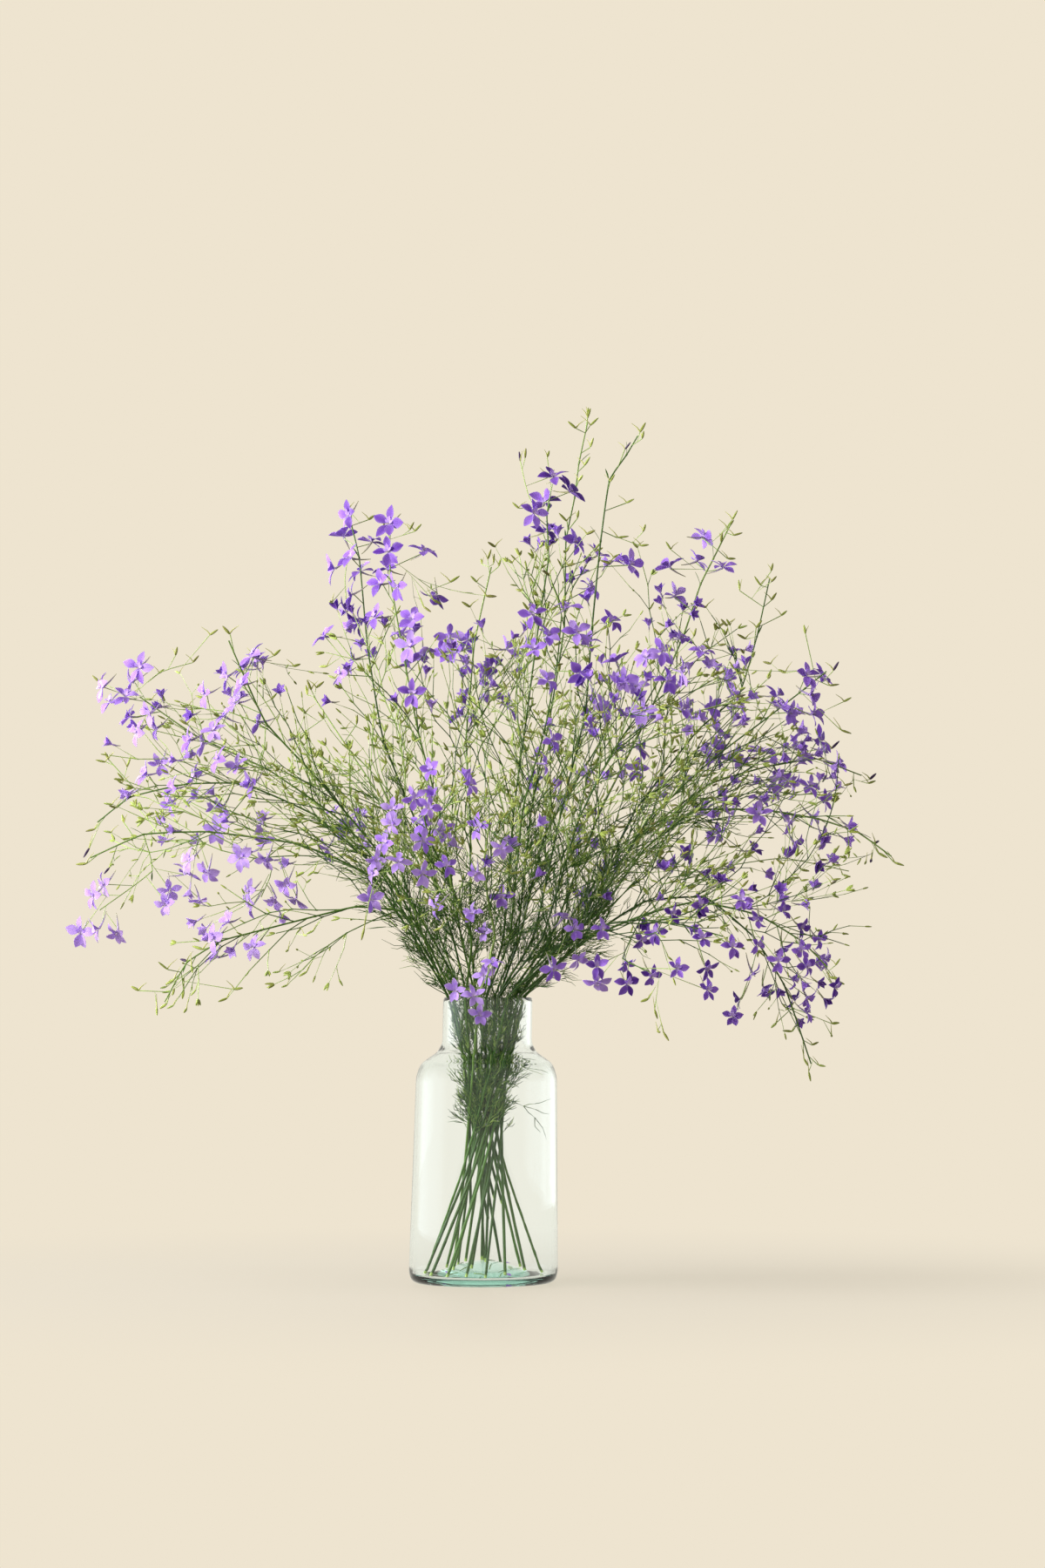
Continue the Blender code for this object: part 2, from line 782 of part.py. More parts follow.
def plan_blooms(room, plants):
    """Set each bloom on its twig, facing out from the bunch."""
    lost = 0
    for plant in plants:
        order = sorted(plant.stem["blooms"], key=lambda spot: spot_reach(plant, spot))
        for number, (x, y) in enumerate(order):
            base = nearest_depth(plant, x, y)
            done = False
            for attempt in range(60):
                rng = random.Random(SEED + 200000 + 5000 * plant.number + 70 * number + attempt)
                depth = base + rng.uniform(-1, 1) * (26.0 + attempt * 0.8)
                if plant.stem["reach"] < -200 and y > 1095:
                    depth = min(depth, -58.0 - rng.uniform(0, 12))
                centre = place(x, y, depth)
                picks = plant.best_spots(centre, 5)
                if not picks:
                    continue
                pick = picks[min(len(picks) - 1, attempt % 5 if attempt > 8 else 0)]
                at, along, radius, _ = plant.spots[pick]
                out = Vector((centre.x - 10.0, centre.y, 0.25 * (centre.z - 330.0)))
                out.normalize()
                wild = Vector((rng.gauss(0, 1), rng.gauss(0, 1), rng.gauss(0, 1))) * 0.42
                face = (out * 0.75 + Vector((0.0, -0.45, 0.05)) + wild).normalized()
                path = twig_path(rng, at, along, centre)
                arrive = (path[-1] - path[-2]).normalized()
                while face.dot(arrive) < 0.35:
                    face = (face + arrive * 0.3).normalized()
                size = PETAL_LENGTH * rng.uniform(0.9, 1.08)
                up, side = bloom_frame(face, Vector((rng.uniform(-0.35, 0.35), rng.uniform(-0.35, 0.35), 0.0)))
                cup = [rng.uniform(-2.5, 2.0) for _ in range(5)]
                tips = petal_tips(centre, face, up, side, size, cup)
                spur = (-face * 0.75 + up * 0.55 + wild * 0.25).normalized()
                length = SPUR_LENGTH * rng.uniform(0.85, 1.15)
                path[-1] = centre - face * BACK_DEPTH + up * 0.15
                radii = twig_radii(radius, len(path))
                bars = bars_of(path, radii)
                bars += [(centre, tip, PETAL_HALF_WIDTH + 0.2) for tip in tips]
                bars.append((centre, centre + spur * length, 1.2))
                if room.free(bars, plant.number, at if attempt < 45 else None):
                    done = True
                    break
            if not done:
                lost += 1
                continue
            room.add(bars, plant.number)
            plant.spots[pick][3] += 1
            plant.blooms.append(
                {
                    "path": path, "radii": radii, "centre": centre, "face": face, "up": up, "side": side,
                    "size": size, "cup": cup, "spur": spur, "spur_length": length, "seed": rng.random(),
                    "pick": plant.spots[pick][2],
                }
            )
            plant.add_spots(path, radii, 0, 11.0)
    return lost


def spot_reach(plant, spot):
    """How far a front-view reading lies from the stem's axes."""
    best = 1e9
    for points, _, _ in plant.axes:
        for at in points[5:] if len(points) > 6 else points:
            seen = place(spot[0], spot[1], at.y)
            best = min(best, (seen - at).length)
    return best


def plan_buds(room, plants, turn):
    """End twigs in buds, at two in three of the tips read off the front view, and end each axis in one."""
    lost = 0
    for plant in plants:
        top = plant.axes[0][0][-1]
        for number, (x, y) in enumerate(plant.stem["tips"]):
            if (number % 3 == 2) != turn:
                continue
            base = nearest_depth(plant, x, y)
            for attempt in range(40):
                rng = random.Random(SEED + 600000 + 5000 * plant.number + 70 * number + attempt)
                depth = base + rng.uniform(-1, 1) * (18.0 + attempt)
                end = place(x, y, depth)
                picks = plant.best_spots(end, 4)
                if not picks:
                    continue
                pick = picks[attempt % len(picks)]
                if bud_at(room, plant, rng, pick, end):
                    break
            else:
                lost += 1
        if turn:
            continue
        rng = random.Random(SEED + 800000 + plant.number)
        end = top + (top - plant.axes[0][0][-2]).normalized() * 14.0
        for pick in plant.best_spots(end, 3):
            if bud_at(room, plant, rng, pick, end):
                break
    return lost


def bud_at(room, plant, rng, pick, end):
    """Grow one budded twig if there is room for it."""
    at, along, radius, _ = plant.spots[pick]
    heading = (end - at).normalized()
    point = (heading + Vector((rng.gauss(0, 0.25), rng.gauss(0, 0.25), 0.35))).normalized()
    length = BUD_LENGTH * rng.uniform(0.75, 1.15)
    girth = BUD_GIRTH * rng.uniform(0.8, 1.1)
    base = end - point * length
    if (base - at).length < 6.0:
        base = at + (along + heading * 0.8).normalized() * 8.0
    path = twig_path(rng, at, along, base)
    arrive = (path[-1] - path[-2]).normalized()
    if point.dot(arrive) < 0.5:
        point = (point + arrive).normalized()
    radii = twig_radii(radius, len(path))
    bars = bars_of(path, radii) + [(path[-1], path[-1] + point * length, girth)]
    if not room.free(bars, plant.number, at):
        return False
    room.add(bars, plant.number)
    plant.spots[pick][3] += 1
    plant.buds.append(
        {"path": path, "radii": radii, "point": point, "length": length, "girth": girth, "seed": rng.random()}
    )
    plant.add_spots(path, radii, 0, 6.0)
    return True


def plan_leaves(room, plants, per_stem, seed):
    """Thread leaves on the axis, most of them from the neck up to where the bunch opens."""
    for plant in plants:
        points, radii, _ = plant.axes[0]
        rng = random.Random(seed + plant.number)
        made = 0
        for _ in range(per_stem * 12):
            if made >= per_stem:
                break
            height = rng.triangular(165.0, 420.0, 270.0)
            index = next((i for i in range(1, len(points)) if points[i].z >= height), None)
            if index is None:
                continue
            start, end = points[index - 1], points[index]
            share = (height - start.z) / max(1e-6, end.z - start.z)
            at = start.lerp(end, share)
            along = (end - start).normalized()
            angle = rng.uniform(0.0, 2.0 * math.pi)
            square = across_any(along)
            other = along.cross(square)
            out = square * math.cos(angle) + other * math.sin(angle)
            length = rng.uniform(22.0, 40.0)
            rise = rng.uniform(0.5, 1.3)
            middle = at + (out + along * rise).normalized() * length * 0.55
            tip = middle + (out * 0.8 + along * rise * 1.2 + Vector((0, 0, 0.2))).normalized() * length * 0.45
            path = [at, middle, tip]
            if not room.free([(at, middle, LEAF_RADIUS), (middle, tip, LEAF_RADIUS)], plant.number, at):
                continue
            room.add([(at, middle, LEAF_RADIUS), (middle, tip, LEAF_RADIUS)], plant.number)
            plant.leaves.append(path)
            made += 1


def plan():
    """Grow every stem in turn, in the order that leaves the thick parts the clearest way."""
    room = Room()
    plants = [Plant(i + 1, stem) for i, stem in enumerate(STEMS)]
    plan_axes(room, plants)
    lost_blooms = plan_blooms(room, plants)
    lost_buds = plan_buds(room, plants, False)
    plan_leaves(room, plants, 3, SEED + 900000)
    print("blooms", sum(len(p.blooms) for p in plants), "lost", lost_blooms)
    print("buds", sum(len(p.buds) for p in plants), "lost", lost_buds)
    print("leaves", sum(len(p.leaves) for p in plants))
    return plants


def ring(centre, direction, radius, sides, start):
    """A ring of points square to a direction."""
    side = start - direction * start.dot(direction)
    side.normalize()
    other = direction.cross(side)
    return [
        centre + (side * math.cos(2 * math.pi * i / sides) + other * math.sin(2 * math.pi * i / sides)) * radius
        for i in range(sides)
    ]


def path_rings(points, radii, sides, start=None):
    """Rings along a path, without twist, the last one started along a given direction."""
    rings = []
    last = len(points) - 1
    for i in range(last, -1, -1):
        before = points[max(0, i - 1)]
        after = points[min(last, i + 1)]
        direction = (after - before).normalized()
        if start is None:
            start = across_any(direction)
        start = start - direction * start.dot(direction)
        if start.length < 0.1:
            start = across_any(direction)
        start.normalize()
        rings.append(ring(points[i], direction, radii[i], sides, start))
    return rings[::-1]


def skin(name, rings, tip=None):
    """A closed mesh over like rings of points, ending in a cap or in one tip point."""
    bm = bmesh.new()
    loops = [[bm.verts.new(p * MM) for p in points] for points in rings]
    bm.faces.new(list(reversed(loops[0])))
    count = len(loops[0])
    for low, high in zip(loops, loops[1:]):
        for i in range(count):
            k = (i + 1) % count
            bm.faces.new((low[i], low[k], high[k], high[i]))
    if tip is None:
        bm.faces.new(loops[-1])
    else:
        end = bm.verts.new(tip * MM)
        last = loops[-1]
        for i in range(count):
            bm.faces.new((last[i], last[(i + 1) % count], end))
    return closed_mesh(name, bm)


def bloom_mesh(name, bloom):
    """A bloom on its stalk: five sepals as one thick star, its back drawn to the stalk and a spur."""
    centre, face, up, side = bloom["centre"], bloom["face"], bloom["up"], bloom["side"]

    def spot(degrees, reach, lift):
        angle = math.radians(degrees)
        return centre + (side * math.cos(angle) + up * math.sin(angle)) * reach + face * lift

    back = [spot(degrees, 1.15, -BACK_DEPTH) for degrees in (90.0, 205.0, 335.0)]
    rings = path_rings(bloom["path"], bloom["radii"], 3, up)[:-1] + [back]
    bm = bmesh.new()
    loops = [[bm.verts.new(p * MM) for p in points] for points in rings]
    bm.faces.new(list(reversed(loops[0])))
    for low, high in zip(loops, loops[1:]):
        for i in range(3):
            k = (i + 1) % 3
            bm.faces.new((low[i], low[k], high[k], high[i]))
    tips = []
    notches = []
    for i, degrees in enumerate(PETAL_ANGLES):
        after = PETAL_ANGLES[(i + 1) % 5] + (360.0 if i == 3 else 0.0)
        tips.append(bm.verts.new(spot(degrees, bloom["size"], bloom["cup"][i]) * MM))
        notches.append(bm.verts.new(spot((degrees + after) / 2, PETAL_NOTCH, 0.3) * MM))
    spur = bm.verts.new((centre + bloom["spur"] * bloom["spur_length"]) * MM)
    r0, r1, r2 = loops[-1]
    for root, run in (
        (r0, (notches[4], tips[0], notches[0])),
        (r1, (notches[0], tips[1], notches[1], tips[2], notches[2])),
        (r2, (notches[2], tips[3], notches[3], tips[4], notches[4])),
    ):
        for one, two in zip(run, run[1:]):
            bm.faces.new((root, one, two))
    bm.faces.new((r1, notches[2], r2))
    bm.faces.new((r2, notches[4], r0))
    for one, two in ((r0, notches[0]), (notches[0], r1), (r1, r0)):
        bm.faces.new((one, two, spur))
    for i in range(5):
        bm.faces.new((notches[i - 1], tips[i], notches[i]))
    bm.faces.new((notches[0], notches[1], notches[4]))
    bm.faces.new((notches[1], notches[2], notches[4]))
    bm.faces.new((notches[2], notches[3], notches[4]))
    return closed_mesh(name, bm)


def closed_mesh(name, bm):
    """A mesh of triangles facing out, from what has been drawn."""
    bmesh.ops.triangulate(bm, faces=bm.faces[:])
    bmesh.ops.recalc_face_normals(bm, faces=bm.faces[:])
    mesh = bpy.data.meshes.new(name)
    bm.to_mesh(mesh)
    bm.free()
    return mesh


def bud_mesh(name, bud):
    """A bud and its stalk in one, swelling from the stalk to a pointed tip."""
    path = bud["path"]
    belly = path[-1] + bud["point"] * bud["length"] * 0.4
    rings = path_rings(path + [belly], bud["radii"] + [bud["girth"]], 3)
    return skin(name, rings, path[-1] + bud["point"] * bud["length"])


def leaf_mesh(name, path):
    """One thread of a leaf."""
    rings = path_rings([path[0], path[2]], [LEAF_RADIUS, LEAF_RADIUS], 3)
    return skin(name, rings[:1], path[2])


def axis_mesh(name, points, radii, sides):
    """A stem or fork, cut square at the foot and rounded off at the top."""
    return skin(name, path_rings(points, radii, sides))


def plain_material(name, colour, roughness, transmission=0.0):
    """A plain material for one node."""
    material = bpy.data.materials.new(name)
    material.use_nodes = True
    shader = material.node_tree.nodes["Principled BSDF"]
    shader.inputs["Base Color"].default_value = (*colour, 1.0)
    shader.inputs["Roughness"].default_value = roughness
    shader.inputs["Transmission Weight"].default_value = transmission
    material.diffuse_color = (*colour, 1.0)
    return material


def fused(name, body, growths, material):
    """One closed body: the axis with all that grows on it."""
    node = bpy.data.objects.new(name, body)
    bpy.context.scene.collection.objects.link(node)
    parts = bpy.data.collections.new(name + "_growths")
    bpy.context.scene.collection.children.link(parts)
    for i, mesh in enumerate(growths):
        parts.objects.link(bpy.data.objects.new(f"{name}_growth_{i}", mesh))
    union = node.modifiers.new("fuse", "BOOLEAN")
    union.operation = "UNION"
    union.operand_type = "COLLECTION"
    union.collection = parts
    union.solver = "MANIFOLD"
    bpy.context.view_layer.update()
    graph = bpy.context.evaluated_depsgraph_get()
    whole = bpy.data.meshes.new_from_object(node.evaluated_get(graph))
    node.modifiers.clear()
    node.data = whole
    whole.name = name
    for part in list(parts.objects):
        bpy.data.objects.remove(part)
    bpy.data.collections.remove(parts)
    whole.materials.clear()
    whole.materials.append(material)
    return node


def vase_node():
    """The bottle vase, turned about its axis and leaned."""
    bm = bmesh.new()
    floor = bm.verts.new((0.0, 0.0, VASE_HUMP * MM))
    under = bm.verts.new((0.0, 0.0, 0.0))
    loops = []
    for radius, height in VASE_OUTSIDE + VASE_INSIDE:
        loop = []
        for i in range(VASE_SIDES):
            angle = 2 * math.pi * i / VASE_SIDES
            loop.append(bm.verts.new((radius * math.cos(angle) * MM, radius * math.sin(angle) * MM, height * MM)))
        loops.append(loop)
    for low, high in zip(loops, loops[1:]):
        for i in range(VASE_SIDES):
            k = (i + 1) % VASE_SIDES
            bm.faces.new((low[i], low[k], high[k], high[i]))
    for i in range(VASE_SIDES):
        k = (i + 1) % VASE_SIDES
        bm.faces.new((loops[0][k], loops[0][i], under))
        bm.faces.new((loops[-1][i], loops[-1][k], floor))
    for vert in bm.verts:
        vert.co.x += VASE_LEAN * vert.co.z
    mesh = closed_mesh("vase", bm)
    mesh.materials.append(plain_material("clear glass", (0.72, 0.86, 0.82), 0.05, 0.6))
    node = bpy.data.objects.new("vase", mesh)
    bpy.context.scene.collection.objects.link(node)
    return node


def main():
    """Build the vase and every stem."""
    for old in list(bpy.data.objects):
        bpy.data.objects.remove(old)
    vase_node()
    total = 0
    for plant in plan():
        name = f"stem_{plant.number:02d}"
        green = plain_material(name + " plant", (0.16, 0.13 + 0.004 * plant.number, 0.22), 0.6)
        points, radii, _ = plant.axes[0]
        body = axis_mesh(name, points, radii, 3)
        growths = [axis_mesh("fork", path, sizes, 3) for path, sizes, _ in plant.axes[1:]]
        growths += [bloom_mesh("bloom", bloom) for bloom in plant.blooms]
        growths += [bud_mesh("bud", bud) for bud in plant.buds]
        growths += [leaf_mesh("leaf", path) for path in plant.leaves]
        node = fused(name, body, growths, green)
        count = sum(len(face.vertices) - 2 for face in node.data.polygons)
        total += count
        print(name, count)
    print("triangles of the stems", total)


main()
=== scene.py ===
"""Forking larkspur, cut and stood loosely in a clear glass bottle vase: the finished look.

The stems are planned by the same rules as the model's solids, so every finer piece lies on
the solid that it stands for. Lengths are in millimetres until the meshes are made.
"""

import json
import math
import random

import bmesh
import bpy
import numpy as np
from bpy.props import FloatProperty, FloatVectorProperty, IntProperty, PointerProperty
from mathutils import Matrix, Vector

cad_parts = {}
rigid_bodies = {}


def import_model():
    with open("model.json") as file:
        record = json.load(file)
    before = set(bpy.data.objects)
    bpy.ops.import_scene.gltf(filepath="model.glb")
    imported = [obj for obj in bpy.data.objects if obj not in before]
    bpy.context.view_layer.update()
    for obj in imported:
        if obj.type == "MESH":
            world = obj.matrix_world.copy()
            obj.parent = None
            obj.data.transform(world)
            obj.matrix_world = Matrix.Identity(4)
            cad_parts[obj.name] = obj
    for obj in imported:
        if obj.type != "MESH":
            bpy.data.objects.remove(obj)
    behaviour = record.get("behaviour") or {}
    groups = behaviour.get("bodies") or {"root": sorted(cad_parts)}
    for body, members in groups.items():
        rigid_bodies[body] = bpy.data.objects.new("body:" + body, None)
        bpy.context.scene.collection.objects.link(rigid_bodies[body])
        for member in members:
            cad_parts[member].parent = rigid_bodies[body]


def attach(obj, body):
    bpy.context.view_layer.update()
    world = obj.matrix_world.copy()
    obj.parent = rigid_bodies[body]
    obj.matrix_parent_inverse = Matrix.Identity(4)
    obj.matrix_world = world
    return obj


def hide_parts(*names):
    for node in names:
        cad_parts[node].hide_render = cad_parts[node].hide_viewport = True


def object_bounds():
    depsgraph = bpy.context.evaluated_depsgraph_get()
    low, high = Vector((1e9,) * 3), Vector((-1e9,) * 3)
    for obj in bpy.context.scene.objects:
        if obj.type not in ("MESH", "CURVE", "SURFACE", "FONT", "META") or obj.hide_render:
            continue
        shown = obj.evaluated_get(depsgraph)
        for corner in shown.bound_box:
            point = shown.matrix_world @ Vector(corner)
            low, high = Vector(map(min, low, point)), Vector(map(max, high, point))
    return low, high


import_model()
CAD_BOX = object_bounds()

bl_info = {
    "name": "Larkspur bunch in a glass vase",
    "version": (1, 0, 0),
    "blender": (4, 5, 0),
    "location": "3D View > Sidebar > Larkspur",
    "description": "Finishes forking larkspur stems, their blooms and buds, and the glass vase they stand in",
    "category": "Object",
}

MM = 0.001
UP = Vector((0.0, 0.0, 1.0))
SIDEWAYS = Vector((1.0, 0.0, 0.0))
ROUND = 2.0 * math.pi
FAR = 1e9
SLIGHT = 1e-6
FLAT = 1e-9

# One stream of random draws for each kind of growth.
SEED = 4171
FORK_DRAWS = SEED + 77000
BLOOM_DRAWS = SEED + 200000
BUD_DRAWS = SEED + 600000
END_BUD_DRAWS = SEED + 800000
LEAF_DRAWS = SEED + 900000
BRANCH_DRAWS = SEED + 905000
SPRAY_DRAWS = SEED + 910000
FAN_DRAWS = SEED + 920000
WISP_DRAWS = SEED + 925000
BRACT_DRAWS = SEED + 930000
STALK_DRAWS = SEED + 935000
CLUSTER_DRAWS = SEED + 940000
FALLEN_DRAWS = SEED + 950000
SEED_SPAN = 1e6

# Bottle vase, blown glass, turned about an axis that leans a little to the right.
VASE_HEIGHT = 248.5
VASE_FOOT_RADIUS = 65.0
VASE_SHOULDER_RADIUS = 61.5
VASE_NECK_RADIUS = 39.0
VASE_WALL = 3.0
VASE_HUMP = 20.0
VASE_FLOOR = 6.0
VASE_NECK_FOOT = 207.0
VASE_LEAN = 0.016
VASE_SIDES = 28
VASE_OUTSIDE = (
    (57.0, 0.0),
    (63.0, 3.0),
    (VASE_FOOT_RADIUS, 10.0),
    (VASE_SHOULDER_RADIUS, 180.0),
    (57.5, 191.0),
    (43.0, 201.0),
    (VASE_NECK_RADIUS, 209.0),
    (VASE_NECK_RADIUS, 245.5),
    (38.0, VASE_HEIGHT),
)
VASE_BOWL = (
    (VASE_FOOT_RADIUS - VASE_WALL, 13.0),
    (60.8, 8.0),
    (57.0, VASE_FLOOR + 0.5),
    (50.0, VASE_FLOOR),
    (32.0, 13.0),
    (15.0, 18.5),
)
VASE_INSIDE = (
    (36.8, VASE_HEIGHT),
    (VASE_NECK_RADIUS - VASE_WALL, 245.5),
    (VASE_NECK_RADIUS - VASE_WALL, VASE_NECK_FOOT),
    (43.0, 198.0),
    (55.0, 187.0),
    (VASE_SHOULDER_RADIUS - VASE_WALL, 178.0),
) + VASE_BOWL

# The bunch: all the stems pass a narrow waist and lie on rulings that twist about it.
# Each has points near its foot, at the waist, in the neck and over the rim, and leaves by its gate.
FOOT_TURN = 95.0
WAIST_HEIGHT = 143.0
NECK_HEIGHT = 205.0
RIM_HEIGHT = 250.0
GATE_HEIGHT = 300.0
GATE = 5
WAIST_RADIUS = 15.1
WAIST_SPACING = 5.0
WAIST_ROUNDS = 200
RULING = 0.0185
FOOT_SPREAD = 0.32
GATE_SCALE = 4.9
GATE_CENTRE = (18.0, 0.0)
KNOT_SPACING = 78.0
HUMP_TOP = 32.0
LEVEL_STEP = 0.05
LEAN_STEPS = 80

# Sight readings on the front view: units across and down, the vase foot at (555, 1471).
UNIT = 0.762
SIGHT_X = 555.0
SIGHT_Y = 1471.0
EYE_DISTANCE = 3800.0
EYE_HEIGHT = 270.0

# Sizes of the plant.
STEM_FOOT = 1.4
STEM_RIM = 1.05
STEM_TOP = 0.68
FORK_RADIUS = 0.66
TWIG_RADIUS = 0.58
TWIG_LEAST = 0.42
PETAL_LENGTH = 13.0
PETAL_HALF_WIDTH = 3.4
PETAL_ANGLES = (90.0, 167.0, 247.0, 293.0, 13.0)
BACK_DEPTH = 1.7
SPUR_LENGTH = 17.0
BUD_LENGTH = 10.0
BUD_GIRTH = 1.7
LEAF_RADIUS = 0.5
LEAVES_PER_STEM = 3
FORK_STEP = 75.0
TWIG_SHORTEST = 9.0
TWIG_LONGEST = 150.0

# Spots where a twig can leave, and how far they keep from a root, a stem's tip, a bud and a bloom.
SPOT_SPACING = 14.0
ROOT_FREE = 6.0
TIP_FREE = 4.0
BUD_FREE = 6.0
BLOOM_FREE = 11.0

# Where a spot's row says how often it is used, and where a side's row says its kind.
USED = 3
KIND = 4

# How far the growth keeps off itself and off the glass.
CLEAR = 0.55
SEAT = 0.35
GLASS_GAP = 0.4
BASE_GAP = 0.3
ROOT_REACH = 0.6
THREAD_OVER = 7.0
THREAD_IN = 1.5

# Stems that reach this far forward hang before the vase: low down, their growth stays in front of it.
FRONT_REACH = -200
LOW_FORK = 1100
LOW_FORK_DEPTH = -54.0
LOW_BLOOM = 1095
LOW_BLOOM_DEPTH = -58.0

# How often each kind of growth is tried before it is given up.
AXIS_TRIES = 400
FORK_TRIES = 300
BLOOM_TRIES = 60
BUD_TRIES = 40
LEAF_TRIES = 12
SPRAY_TRIES = 6

# The finer growth, which the model's solids leave out, and its finish.
BRANCH_RADIUS = 0.56
SPRAY_RADIUS = 0.4
SPRAY_LEAST = 0.27
HEART = Vector((10.0, 0.0, 300.0))
REACH_SPREAD = 0.98
REACH_SHARE = 0.92
TOP_THINNING = 0.2
SEPAL_LEAST = 0.86
SEPAL_REACH = 1.08
OPEN_NEAR = 32.0
KNOT_REACH = 1.6
FINENESS = 0.8
CUT_SHARE = 0.4
RUBBED_FROM = 197.0
WISP_HEIGHTS = (196.0, 160.0, 214.0)
THREAD_RADIUS = 0.38
KNOT_SWELL = 1.45
BLADE_THICKNESS = 0.25
FLOOR_GAP = 0.3

# Fallen sepals and scraps on the vase floor, by place and length, and how far each is turned at most.
SCRAP_TURN = 6.28
FALLEN_SEPALS = ((-32.0, -28.0), (24.0, -40.0), (14.0, 22.0))
FALLEN_SCRAPS = (
    (-22.0, -34.0, 16.0), (-8.0, -40.0, 12.0), (5.0, -30.0, 14.0), (-14.0, -22.0, 10.0), (14.0, -44.0, 9.0),
    (-2.0, -46.0, 11.0), (20.0, -26.0, 13.0), (-34.0, -16.0, 9.0), (10.0, 14.0, 12.0), (-16.0, 20.0, 11.0),
)

# Greens by tone, from old growth to young.
STALK_GREENS = (
    (0.0, (0.06, 0.15, 0.018)), (0.35, (0.024, 0.068, 0.01)), (0.7, (0.08, 0.165, 0.022)),
    (1.0, (0.42, 0.58, 0.17)),
)
LEAF_GREENS = ((0.0, (0.02, 0.07, 0.01)), (0.5, (0.065, 0.17, 0.022)), (1.0, (0.4, 0.54, 0.13)))
BUD_GREENS = (
    (0.0, (0.56, 0.72, 0.22)), (0.4, (0.42, 0.5, 0.11)), (0.75, (0.22, 0.21, 0.05)),
    (1.0, (0.06, 0.03, 0.1)),
)
SPUR_GREENS = ((0.0, (0.62, 0.64, 0.22)), (1.0, (0.45, 0.48, 0.12)))

# The light's aim, and the frame of the photograph.
LIT_SPOT = (0.0, 0.0, 0.42)
LEFT_WINDOW = (-0.985, 0.17, 0.0)
RIGHT_WINDOW = (0.79, 0.62, 0.0)
PHOTO_WIDTH = 1200
PHOTO_HEIGHT = 1800
FILM = 36.0
SOFT = {"interpolation_type": "SMOOTHSTEP"}

